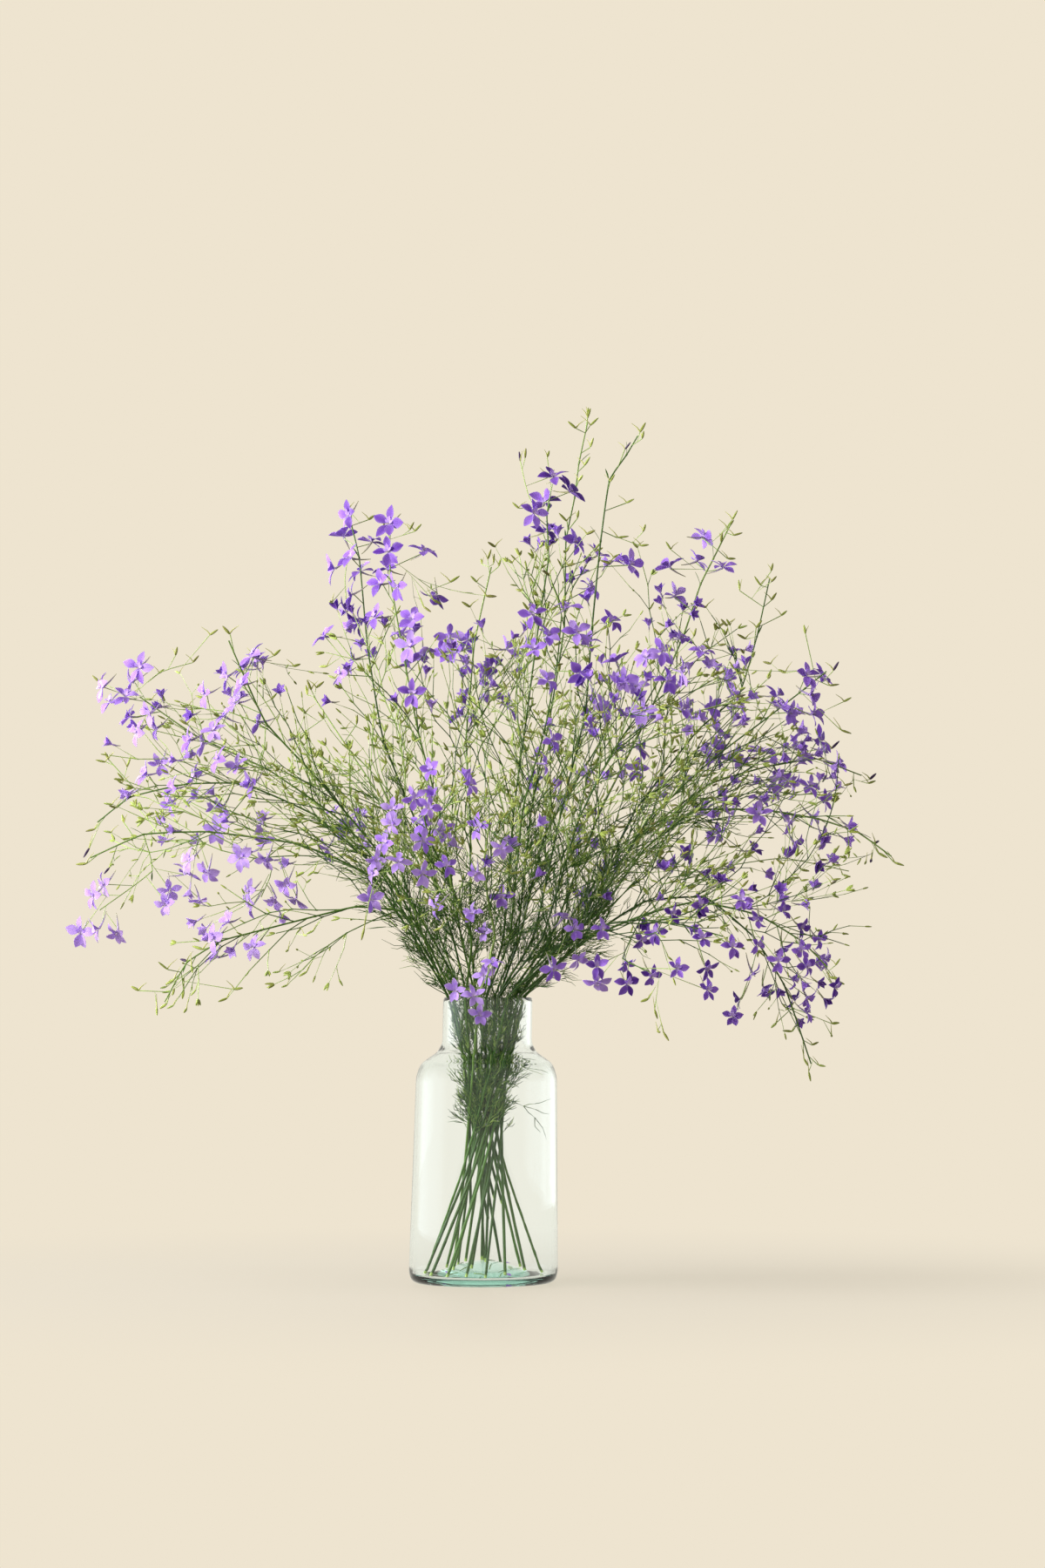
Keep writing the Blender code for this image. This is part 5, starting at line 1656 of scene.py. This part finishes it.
def opening(bench, base, heading, chance):
    """A small half-open bloom: narrow sepals drawn together round the heart, and the spur behind."""
    rng = random.Random(int(chance * SEED_SPAN))
    side = across_any(heading)
    up = heading.cross(side)
    tone = bloom_tone_and_painted_light(base, rng)
    for k in range(5):
        angle = ROUND * k / 5.0 + rng.uniform(-0.2, 0.2)
        spread = side * math.cos(angle) + up * math.sin(angle)
        out = (heading + spread * rng.uniform(0.35, 0.9)).normalized()
        across = heading.cross(out).normalized()
        shade = capped(tone + rng.uniform(-0.16, 0.16))
        length, half = 8.0 + 3.0 * chance, 2.1 + 0.8 * chance
        blade(bench, base, out, across, out.cross(across), length, half, (0.9, -0.8), shade)
    knee = base - heading * 4.0 + UP * 1.2
    tip = knee - heading * 4.0 + UP * 2.0
    tube(bench, [base, knee, tip], [0.9, 0.6, 0.25], 4, (tone, 1.0), 2)


def blooms(bench, plant):
    """The open blooms, and the half-open ones among the buds."""
    look = bpy.context.scene.larkspur
    for flower in plant.blooms:
        bloom(bench, flower, look)
    for at, heading, length, _, _, chance in plant.sides_with("opening"):
        opening(bench, at + heading * length, heading, chance)


def bloom_tone_and_painted_light(centre, rng):
    """How deep a bloom's violet is: palest low at the left, deepest at the right, high up and low down; the
    pale left is partly painted light from the key lamp and the deep right partly painted shade.
    """
    left = 0.34 + centre.x / 1500.0 + (centre.z - 450.0) / 380.0
    right = 0.38 + 0.36 * max(within(centre.z, 540.0, 680.0), low_right_share(centre))
    tone = left + (right - left) * within(centre.x, -60.0, 120.0)
    return capped(tone + rng.uniform(-0.33, 0.33))


def set_up(made, values):
    """Give a node its settings; a value whose name is a socket's goes to that socket."""
    for name, value in values.items():
        socket = name.replace("_", " ")
        if socket in made.inputs:
            made.inputs[socket].default_value = value
        else:
            setattr(made, name, value)
    return made


def blank(name, **values):
    """A new material with its nodes, its shader set up, and its output."""
    material = bpy.data.materials.new(name)
    material.use_nodes = True
    tree = material.node_tree
    return material, tree, set_up(tree.nodes["Principled BSDF"], values), tree.nodes["Material Output"]


def node(tree, kind, **values):
    """A new node with its settings."""
    return set_up(tree.nodes.new("ShaderNode" + kind), values)


def feed(tree, socket, value):
    """Give an input what another node puts out, a number or a colour."""
    if isinstance(value, bpy.types.NodeSocket):
        tree.links.new(value, socket)
    elif isinstance(value, (int, float)):
        socket.default_value = value
    else:
        socket.default_value = (*value, 1.0)


def ramp(tree, stops, source):
    """A colour ramp fed by a number."""
    made = node(tree, "ValToRGB")
    elements = made.color_ramp.elements
    while len(elements) < len(stops):
        elements.new(0.5)
    for element, (at, colour) in zip(elements, stops):
        element.position = at
        element.color = (*colour, 1.0)
    feed(tree, made.inputs["Fac"], source)
    return made.outputs["Color"]


def mixed(tree, share, one, two, blend="MIX"):
    """Two colours mixed by a share, each a colour or a socket."""
    made = node(tree, "Mix", data_type="RGBA", blend_type=blend)
    for number, value in ((0, share), (6, one), (7, two)):
        feed(tree, made.inputs[number], value)
    return made.outputs[2]


def figure(tree, operation, one, two=0.0, three=0.0, clamp=False):
    """One sum on numbers or sockets."""
    made = node(tree, "Math", operation=operation, use_clamp=clamp)
    for socket, value in zip(made.inputs, (one, two, three)):
        feed(tree, socket, value)
    return made.outputs[0]


def ranged(tree, value, **values):
    """A number carried over from one range to another."""
    made = node(tree, "MapRange", **values)
    feed(tree, made.inputs["Value"], value)
    return made.outputs["Result"]


def where(tree, kind="Object"):
    """The spot on the object, or the direction in the surround."""
    return node(tree, "TexCoord").outputs[kind]


def split(tree, vector):
    """The three numbers of a vector."""
    made = node(tree, "SeparateXYZ")
    feed(tree, made.inputs[0], vector)
    return made.outputs


def leaf_spot(tree):
    """How far a spot lies across a sepal or leaf, and how far along it."""
    return split(tree, node(tree, "UVMap", uv_map="UVMap").outputs["UV"])


def asked_by(tree, kind):
    """1 for the rays of a kind, 0 for the others."""
    return node(tree, "LightPath").outputs[kind]


def tone_of(tree):
    """The piece's own tone, from 0 to 1."""
    return node(tree, "Attribute", attribute_name="tone").outputs["Fac"]


def cloudy(tree, scale, detail=3.0, spot=None):
    """Noise on the object's own coordinates, or on a spot that is given."""
    noise = node(tree, "TexNoise", Scale=scale, Detail=detail)
    feed(tree, noise.inputs["Vector"], where(tree) if spot is None else spot)
    return noise.outputs["Fac"]


def mottled(tree, share, colour, dark, scale):
    """A colour with soft darker patches."""
    patches = ramp(tree, ((0.3, dark), (0.7, (1.0, 1.0, 1.0))), cloudy(tree, scale))
    return mixed(tree, share, colour, patches, "MULTIPLY")


def bumped(tree, shader, height, strength, distance=0.0002):
    """Let a height show in a surface."""
    bump = node(tree, "Bump", Strength=strength, Distance=distance)
    feed(tree, bump.inputs["Height"], height)
    feed(tree, shader.inputs["Normal"], bump.outputs["Normal"])


def blended(tree, output, share, one, two):
    """Show one shader where the share is 0, the other where it is 1."""
    mix = node(tree, "MixShader")
    for number, value in enumerate((share, one.outputs[0], two.outputs[0])):
        feed(tree, mix.inputs[number], value)
    feed(tree, output.inputs["Surface"], mix.outputs["Shader"])


def lit_through(tree, shader, output, colour, share):
    """Colour a thin part, and let light through it, as through a petal."""
    feed(tree, shader.inputs["Base Color"], colour)
    through = node(tree, "BsdfTranslucent")
    feed(tree, through.inputs["Color"], colour)
    blended(tree, output, share, shader, through)


def sepal_finish(look):
    """Violet sepals: paler at claw and rim, the paler rim partly a painted highlight along the edges, with
    fine darker veins that run to the tip.
    """
    material, tree, shader, output = blank(
        "violet sepals", Roughness=0.55, Specular_IOR_Level=0.2, Sheen_Weight=0.05
    )
    violet = ramp(tree, ((0.0, look.light), (0.5, look.middle), (1.0, look.deep)), tone_of(tree))
    spot = leaf_spot(tree)
    off_middle = figure(tree, "ABSOLUTE", figure(tree, "SUBTRACT", spot[0], 0.5))
    wave = figure(tree, "SINE", figure(tree, "MULTIPLY", off_middle, 50.0))
    fine = figure(tree, "MULTIPLY_ADD", wave, 0.5, 0.5)
    veins = figure(tree, "MULTIPLY", figure(tree, "POWER", fine, 3.0), 0.65)
    # The paler rim is partly the sepal's own colour and partly a painted highlight along its edges.
    rim = figure(tree, "MULTIPLY", figure(tree, "POWER", figure(tree, "MULTIPLY", off_middle, 2.0), 3.0), 0.4)
    veined = mixed(tree, veins, violet, mixed(tree, 1.0, violet, look.vein, "MULTIPLY"))
    veined = mixed(tree, rim, veined, look.light)
    claw = figure(tree, "SUBTRACT", 1.0, figure(tree, "MULTIPLY", spot[1], 4.0), clamp=True)
    based = mixed(tree, figure(tree, "MULTIPLY", claw, 0.55), veined, look.heart)
    bumped(tree, shader, fine, 0.12)
    lit_through(tree, shader, output, mottled(tree, 0.7, based, (0.76, 0.68, 0.86), 190.0), 0.33)
    return material


def heart_finish(look):
    """The fused petal in the middle, nearly white at its claw and violet at its edge."""
    material, tree, shader, output = blank("pale heart petal", Roughness=0.5)
    colour = ramp(tree, ((0.0, look.heart), (0.35, look.light), (1.0, look.middle)), leaf_spot(tree)[1])
    lit_through(tree, shader, output, mottled(tree, 0.35, colour, (0.75, 0.68, 0.85), 260.0), 0.35)
    return material


def spur_finish(look):
    """A bloom's spur: violet where it leaves the bloom, going pale and greenish to its tip."""
    material, tree, shader, output = blank("bloom spur", Roughness=0.5)
    colour = ramp(tree, ((0.0, look.light), (0.55, look.spur), (1.0, look.spur_tip)), tone_of(tree))
    lit_through(tree, shader, output, mottled(tree, 0.4, colour, (0.7, 0.7, 0.7), 300.0), 0.25)
    return material


def stamen_finish():
    """Stamens: pale threads with dull yellow ends."""
    material, tree, shader, _ = blank("stamens", Roughness=0.7)
    colour = ramp(tree, ((0.0, (0.6, 0.5, 0.75)), (0.8, (0.35, 0.3, 0.2))), tone_of(tree))
    feed(tree, shader.inputs["Base Color"], colour)
    return material


def green_finish(name, stops, share, roughness, scale):
    """A living green that follows the piece's tone, mottled, with a fine grain."""
    material, tree, shader, output = blank(name, Roughness=roughness, Specular_IOR_Level=0.2)
    colour = mottled(tree, 0.6, ramp(tree, stops, tone_of(tree)), (0.62, 0.66, 0.55), scale)
    bumped(tree, shader, cloudy(tree, 1400.0, 2.0), 0.15)
    if share:
        lit_through(tree, shader, output, colour, share)
    else:
        feed(tree, shader.inputs["Base Color"], colour)
    return material


def glass_finish(look):
    """Clear glass with a green cast that deepens with its thickness, a little rippled."""
    material, tree, shader, output = blank(
        "clear green-cast glass", Base_Color=(1.0, 1.0, 1.0, 1.0), IOR=1.36, Transmission_Weight=1.0
    )
    height = split(tree, where(tree))["Z"]
    low, high = RUBBED_FROM * MM, VASE_NECK_FOOT * MM
    rubbed = ranged(tree, height, From_Min=low, From_Max=high, To_Min=0.006, To_Max=0.04)
    feed(tree, shader.inputs["Roughness"], rubbed)
    drawn = node(tree, "Mapping", Scale=(60.0, 60.0, 3.0))
    feed(tree, drawn.inputs["Vector"], where(tree))
    bumped(tree, shader, cloudy(tree, 1.0, 2.0, drawn.outputs["Vector"]), look.ripple, 0.002)
    clear = node(tree, "BsdfTransparent", Color=(0.93, 0.96, 0.95, 1.0))
    blended(tree, output, asked_by(tree, "Is Shadow Ray"), shader, clear)
    depth = node(tree, "VolumeAbsorption", Color=(*look.cast, 1.0), Density=look.depth)
    feed(tree, output.inputs["Volume"], depth.outputs["Volume"])
    return material


def rounded(profile, reach, steps):
    """A profile with its corners taken off in short curves."""
    fine = [Vector(profile[0])]
    for before, corner, after in zip(profile, profile[1:], profile[2:]):
        corner = Vector(corner)
        one, two = Vector(before) - corner, Vector(after) - corner
        cut = min(reach, 0.42 * one.length, 0.42 * two.length)
        start, end = corner + one.normalized() * cut, corner + two.normalized() * cut
        for k in range(steps + 1):
            fine.append(bow(start, corner, end, k / steps))
    return fine + [Vector(profile[-1])]


class LarkspurLook(bpy.types.PropertyGroup):
    """The sizes and colours of the bunch that a user would change."""

    branches: IntProperty(name="Branches", description="Thin branches on each stem", default=8, min=0)
    sprays: IntProperty(name="Sprays", description="Fine sprays on each stem", default=12, min=0)
    fans: IntProperty(name="Leaf fans", description="Thread leaves on each stem", default=44, min=0)
    sepal_upper: FloatProperty(
        name="Upper sepal", description="Half width of the upper sepal", default=0.0031, unit="LENGTH"
    )
    sepal_side: FloatProperty(
        name="Side sepals", description="Half width of the two side sepals", default=0.0039, unit="LENGTH"
    )
    sepal_lower: FloatProperty(
        name="Lower sepals", description="Half width of the two lower sepals", default=0.0035, unit="LENGTH"
    )
    light: FloatVectorProperty(
        name="Light violet", description="The lightest blooms", default=(0.72, 0.53, 0.98), subtype="COLOR"
    )
    middle: FloatVectorProperty(
        name="Violet", description="Most of the blooms", default=(0.5, 0.26, 0.95), subtype="COLOR"
    )
    deep: FloatVectorProperty(
        name="Deep violet", description="The deepest blooms", default=(0.16, 0.045, 0.47), subtype="COLOR"
    )
    vein: FloatVectorProperty(
        name="Veins", description="What the veins leave of the violet", default=(0.55, 0.42, 0.72),
        subtype="COLOR",
    )
    heart: FloatVectorProperty(
        name="Heart", description="The pale petal in the middle", default=(0.85, 0.78, 0.93), subtype="COLOR"
    )
    spur: FloatVectorProperty(
        name="Spur", description="Middle of the spur", default=(0.45, 0.36, 0.62), subtype="COLOR"
    )
    spur_tip: FloatVectorProperty(
        name="Spur tip", description="End of the spur", default=(0.5, 0.5, 0.28), subtype="COLOR"
    )


class VaseLook(bpy.types.PropertyGroup):
    """The sizes and colours of the glass that a user would change."""

    segments: IntProperty(name="Segments", description="Steps round the turned glass", default=96, min=24)
    corner: FloatProperty(name="Corner", description="Rounding of the profile", default=0.006, unit="LENGTH")
    ripple: FloatProperty(name="Ripple", description="Unevenness of the blown glass", default=0.08, min=0.0)
    cast: FloatVectorProperty(
        name="Cast", description="Colour that thick glass takes", default=(0.35, 0.8, 0.7), subtype="COLOR"
    )
    depth: FloatProperty(name="Depth", description="How fast the cast deepens", default=12.0, min=0.0)


class StageLook(bpy.types.PropertyGroup):
    """The sizes and colours of the floor and the light that a user would change."""

    surround: FloatVectorProperty(
        name="Surround", description="What lies all round", default=(0.855, 0.775, 0.63), subtype="COLOR"
    )
    glassed: FloatVectorProperty(
        name="In the glass", description="The surround as the glass shows it", default=(0.885, 0.86, 0.76),
        subtype="COLOR",
    )
    floor: FloatVectorProperty(
        name="Floor", description="The pale floor", default=(0.6, 0.575, 0.53), subtype="COLOR"
    )
    floor_radius: FloatProperty(
        name="Floor radius", description="Reach of the floor", default=1.4, unit="LENGTH"
    )
    sky: FloatProperty(name="Sky", description="Strength of the even light", default=0.21, min=0.0)
    key: FloatProperty(name="Key", description="Strength of the light from the left", default=112.0, min=0.0)
    window: FloatProperty(
        name="Windows", description="How bright the windows are in reflections", default=1.0, min=0.0
    )


def finish_stems(kind, slot, finishes, draw):
    """Make one piece of a kind for every stem, drawn by a function of its bench and its plant."""
    for plant in grown():
        bench = Bench()
        draw(bench, plant)
        stem = f"stem_{plant.number:02d}"
        bench.piece(f"{stem}_{kind}", stem, slot, finishes)


class LARKSPUR_OT_vase(bpy.types.Operator):
    """Turn the glass vase"""

    bl_idname = "larkspur.vase"
    bl_label = "Glass vase"

    def execute(self, context):
        look = context.scene.larkspur_vase
        bench = Bench()
        small = bench.start()
        outline = ((0.0, 0.8), (48.0, 0.6)) + VASE_OUTSIDE + VASE_INSIDE + ((0.0, VASE_HUMP),)
        profile = rounded(outline, look.corner / MM, 4)
        verts = [small.verts.new((spot.x, 0.0, spot.y)) for spot in profile]
        edges = [small.edges.new(pair) for pair in zip(verts, verts[1:])]
        bmesh.ops.spin(
            small, geom=verts + edges, cent=(0, 0, 0), axis=UP, angle=ROUND,
            steps=look.segments, use_merge=True,
        )
        bmesh.ops.remove_doubles(small, verts=small.verts[:], dist=0.001)
        bmesh.ops.recalc_face_normals(small, faces=small.faces[:])
        for vert in small.verts:
            vert.co.x += VASE_LEAN * vert.co.z
        bench.take(small, 0.0)
        bench.piece("glass_vase", "vase", "glass", [glass_finish(look)], 80.0)
        return {"FINISHED"}


class LARKSPUR_OT_stalks(bpy.types.Operator):
    """Draw the stems with their forks, twigs and sprays"""

    bl_idname = "larkspur.stalks"
    bl_label = "Stems and twigs"

    def execute(self, context):
        finish = green_finish("stem green", STALK_GREENS, 0.0, 0.38, 160.0)
        finish_stems("stalks", "stem", [finish], stalks)
        return {"FINISHED"}


class LARKSPUR_OT_leaves(bpy.types.Operator):
    """Draw the thread leaves and bracts"""

    bl_idname = "larkspur.leaves"
    bl_label = "Thread leaves"

    def execute(self, context):
        finish = green_finish("leaf green", LEAF_GREENS, 0.3, 0.6, 240.0)
        finish_stems("leaves", "plant", [finish], strands)
        return {"FINISHED"}


class LARKSPUR_OT_blooms(bpy.types.Operator):
    """Open the blooms"""

    bl_idname = "larkspur.blooms"
    bl_label = "Blooms"

    def execute(self, context):
        look = context.scene.larkspur
        finishes = [sepal_finish(look), heart_finish(look), spur_finish(look), stamen_finish()]
        finish_stems("blooms", "petal", finishes, blooms)
        return {"FINISHED"}


class LARKSPUR_OT_buds(bpy.types.Operator):
    """Set the buds"""

    bl_idname = "larkspur.buds"
    bl_label = "Buds"

    def execute(self, context):
        finishes = [
            green_finish("bud olive", BUD_GREENS, 0.15, 0.5, 420.0),
            green_finish("bud spur", SPUR_GREENS, 0.3, 0.5, 420.0),
        ]
        finish_stems("buds", "bud", finishes, buds)
        return {"FINISHED"}


class LARKSPUR_OT_fallen(bpy.types.Operator):
    """Lay the fallen sepals and scraps on the vase floor"""

    bl_idname = "larkspur.fallen"
    bl_label = "Fallen scraps"

    def execute(self, context):
        look = context.scene.larkspur
        rng = random.Random(FALLEN_DRAWS)
        sepals, scraps = Bench(), Bench()
        for x, y in FALLEN_SEPALS:
            root = on_floor(x, y, 0.6)
            out = turned(SIDEWAYS, UP, rng.uniform(0.0, SCRAP_TURN))
            blade(sepals, root, out, UP.cross(out), UP, 9.0, 2.6, (0.8, 0.6), rng.uniform(0.3, 0.7), steps=6)
        for x, y, length in FALLEN_SCRAPS:
            root = on_floor(x, y, 0.5)
            out = turned(SIDEWAYS, UP, rng.uniform(0.0, SCRAP_TURN))
            end = on_floor(x + out.x * length, y + out.y * length, 0.5)
            middle = root.lerp(end, 0.5) + UP * 0.6
            tube(scraps, [root, middle, end], [0.4, 0.45, 0.25], 4, (rng.uniform(0.2, 0.9), 0.6))
        sepals.piece("fallen_sepals", None, "petal", [sepal_finish(look)])
        green = green_finish("scrap green", LEAF_GREENS, 0.2, 0.6, 240.0)
        scraps.piece("fallen_scraps", None, "plant", [green])
        return {"FINISHED"}


def on_floor(x, y, above):
    """A spot just above the vase floor."""
    radius = math.hypot(x, y)
    height = floor_height(radius) + above
    return Vector((x + VASE_LEAN * height, y, height))


class LARKSPUR_OT_stage(bpy.types.Operator):
    """Lay the pale floor, light the scene and set the camera"""

    bl_idname = "larkspur.stage"
    bl_label = "Stage, light and camera"

    def execute(self, context):
        look = context.scene.larkspur_stage
        self.lay_floor(look)
        self.light(context, look)
        self.stand_camera(context)
        return {"FINISHED"}

    def lay_floor(self, look):
        """A round floor, pale near the vase and as bright as the surround further out."""
        bm = bmesh.new()
        bmesh.ops.create_circle(bm, cap_ends=True, segments=96, radius=look.floor_radius)
        bmesh.ops.translate(bm, verts=bm.verts[:], vec=(0.0, 0.0, -FLOOR_GAP * MM))
        mesh = bpy.data.meshes.new("floor")
        bm.to_mesh(mesh)
        bm.free()
        floor = bpy.data.objects.new("floor", mesh)
        bpy.context.scene.collection.objects.link(floor)
        material, tree, shader, output = blank("pale floor", Base_Color=(*look.floor, 1.0), Roughness=0.45)
        away = node(tree, "VectorMath", operation="LENGTH")
        feed(tree, away.inputs[0], where(tree))
        share = ranged(tree, away.outputs["Value"], From_Min=0.2, From_Max=0.9, To_Min=0.65, **SOFT)
        glow = node(tree, "Emission")
        feed(tree, glow.inputs["Color"], self.seen(tree, look))
        feed(tree, glow.inputs["Strength"], self.fill(tree, 0.5))
        blended(tree, output, share, shader, glow)
        mesh.materials.append(material)

    def light(self, context, look):
        """Soft light: a surround with two tall windows, three lamps for the plants and one for the floor."""
        world = bpy.data.worlds.new("studio")
        world.use_nodes = True
        tree = world.node_tree
        surround = tree.nodes["Background"]
        gloss = asked_by(tree, "Is Glossy Ray")
        right = figure(tree, "MULTIPLY", self.window(tree, RIGHT_WINDOW, 0.86, 0.98), 0.7)
        bright = figure(tree, "ADD", self.window(tree, LEFT_WINDOW, 0.8, 0.97), right)
        pane = figure(tree, "MULTIPLY", gloss, bright, clamp=True)
        feed(tree, surround.inputs["Color"], mixed(tree, pane, self.seen(tree, look), (0.88, 0.96, 1.0)))
        strength = figure(tree, "ADD", self.fill(tree, look.sky), figure(tree, "MULTIPLY", pane, look.window))
        feed(tree, surround.inputs["Strength"], strength)
        context.scene.world = world
        spared = bpy.data.collections.new("not lit by the near lamps")
        for i, name in enumerate(("glass_vase", "floor")):
            spared.objects.link(bpy.data.objects[name])
            spared.collection_objects[i].light_linking.link_state = "EXCLUDE"
        ground = bpy.data.collections.new("lit from above")
        ground.objects.link(bpy.data.objects["floor"])
        for name, at, size, energy, colour in (
            ("key", (-2.2, -0.7, 1.2), (1.1, 1.1), look.key, (1.0, 0.98, 0.94)),
            ("edge", (-1.7, 1.5, 1.0), (0.9, 1.2), look.key * 0.5, (1.0, 0.98, 0.95)),
            ("front", (-0.9, -3.0, 1.6), (1.2, 1.0), look.key * 0.33, (1.0, 0.98, 0.95)),
            ("above", (-1.4, -0.5, 2.6), (1.8, 1.8), look.key * 0.85, (1.0, 0.97, 0.93)),
        ):
            lamp = bpy.data.lights.new(name, "AREA")
            lamp.shape = "RECTANGLE"
            lamp.size, lamp.size_y = size
            lamp.energy = energy
            lamp.color = colour
            holder = bpy.data.objects.new(name, lamp)
            holder.location = at
            aim = Vector(LIT_SPOT) - Vector(at)
            if name in ("key", "edge"):
                aim.z = 0.0
            holder.rotation_euler = aim.to_track_quat("-Z", "Y").to_euler()
            holder.light_linking.receiver_collection = ground if name == "above" else spared
            context.scene.collection.objects.link(holder)
        context.scene.view_settings.view_transform = "Standard"

    def seen(self, tree, look):
        """The colour of the surround, cooler in the glass than straight on."""
        return mixed(tree, asked_by(tree, "Is Glossy Ray"), look.surround, look.glassed)

    def fill(self, tree, share):
        """The strength of the surround, less where it only fills in shade."""
        return figure(tree, "MULTIPLY_ADD", asked_by(tree, "Is Diffuse Ray"), share - 1.0, 1.0)

    def window(self, tree, towards, start, full):
        """How much of a soft tall window lies in a direction, from 0 to 1."""
        across = node(tree, "VectorMath", operation="DOT_PRODUCT")
        across.inputs[1].default_value = Vector(towards).normalized()
        feed(tree, across.inputs[0], where(tree, "Generated"))
        return ranged(tree, across.outputs["Value"], From_Min=start, From_Max=full, **SOFT)

    def stand_camera(self, context):
        """The camera, as far off and as high as in the photograph, turned a little right and up."""
        focal = EYE_DISTANCE / UNIT
        lens = bpy.data.cameras.new("camera")
        lens.sensor_width = FILM
        lens.lens = focal * FILM / PHOTO_HEIGHT
        camera = bpy.data.objects.new("camera", lens)
        camera.location = (0.0, -EYE_DISTANCE * MM, EYE_HEIGHT * MM)
        horizon = SIGHT_Y - EYE_HEIGHT / UNIT
        pitch = math.atan((horizon - PHOTO_HEIGHT / 2) / focal)
        yaw = math.atan((PHOTO_WIDTH / 2 - SIGHT_X) / focal)
        camera.rotation_euler = (math.pi / 2 + pitch, 0.0, -yaw)
        context.scene.collection.objects.link(camera)
        context.scene.camera = camera


class LARKSPUR_PT_bench(bpy.types.Panel):
    """The pieces of the larkspur bunch, in the order they are made"""

    bl_label = "Larkspur"
    bl_space_type = "VIEW_3D"
    bl_region_type = "UI"
    bl_category = "Larkspur"

    def draw(self, context):
        for maker in MAKERS:
            self.layout.operator(maker.bl_idname)


LOOKS = {"larkspur": LarkspurLook, "larkspur_vase": VaseLook, "larkspur_stage": StageLook}
MAKERS = (
    LARKSPUR_OT_vase,
    LARKSPUR_OT_stalks,
    LARKSPUR_OT_leaves,
    LARKSPUR_OT_blooms,
    LARKSPUR_OT_buds,
    LARKSPUR_OT_fallen,
    LARKSPUR_OT_stage,
)
CLASSES = (*LOOKS.values(), *MAKERS, LARKSPUR_PT_bench)


def register():
    """Make the settings, the operators and the panel known."""
    for kind in CLASSES:
        bpy.utils.register_class(kind)
    for name, kind in LOOKS.items():
        setattr(bpy.types.Scene, name, PointerProperty(type=kind))


def unregister():
    """Take them away again."""
    for name in LOOKS:
        delattr(bpy.types.Scene, name)
    for kind in reversed(CLASSES):
        bpy.utils.unregister_class(kind)


def main():
    """Make every piece."""
    register()
    for maker in MAKERS:
        group, name = maker.bl_idname.split(".")
        getattr(getattr(bpy.ops, group), name)()
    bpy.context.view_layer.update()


if __name__ == "__main__":
    main()
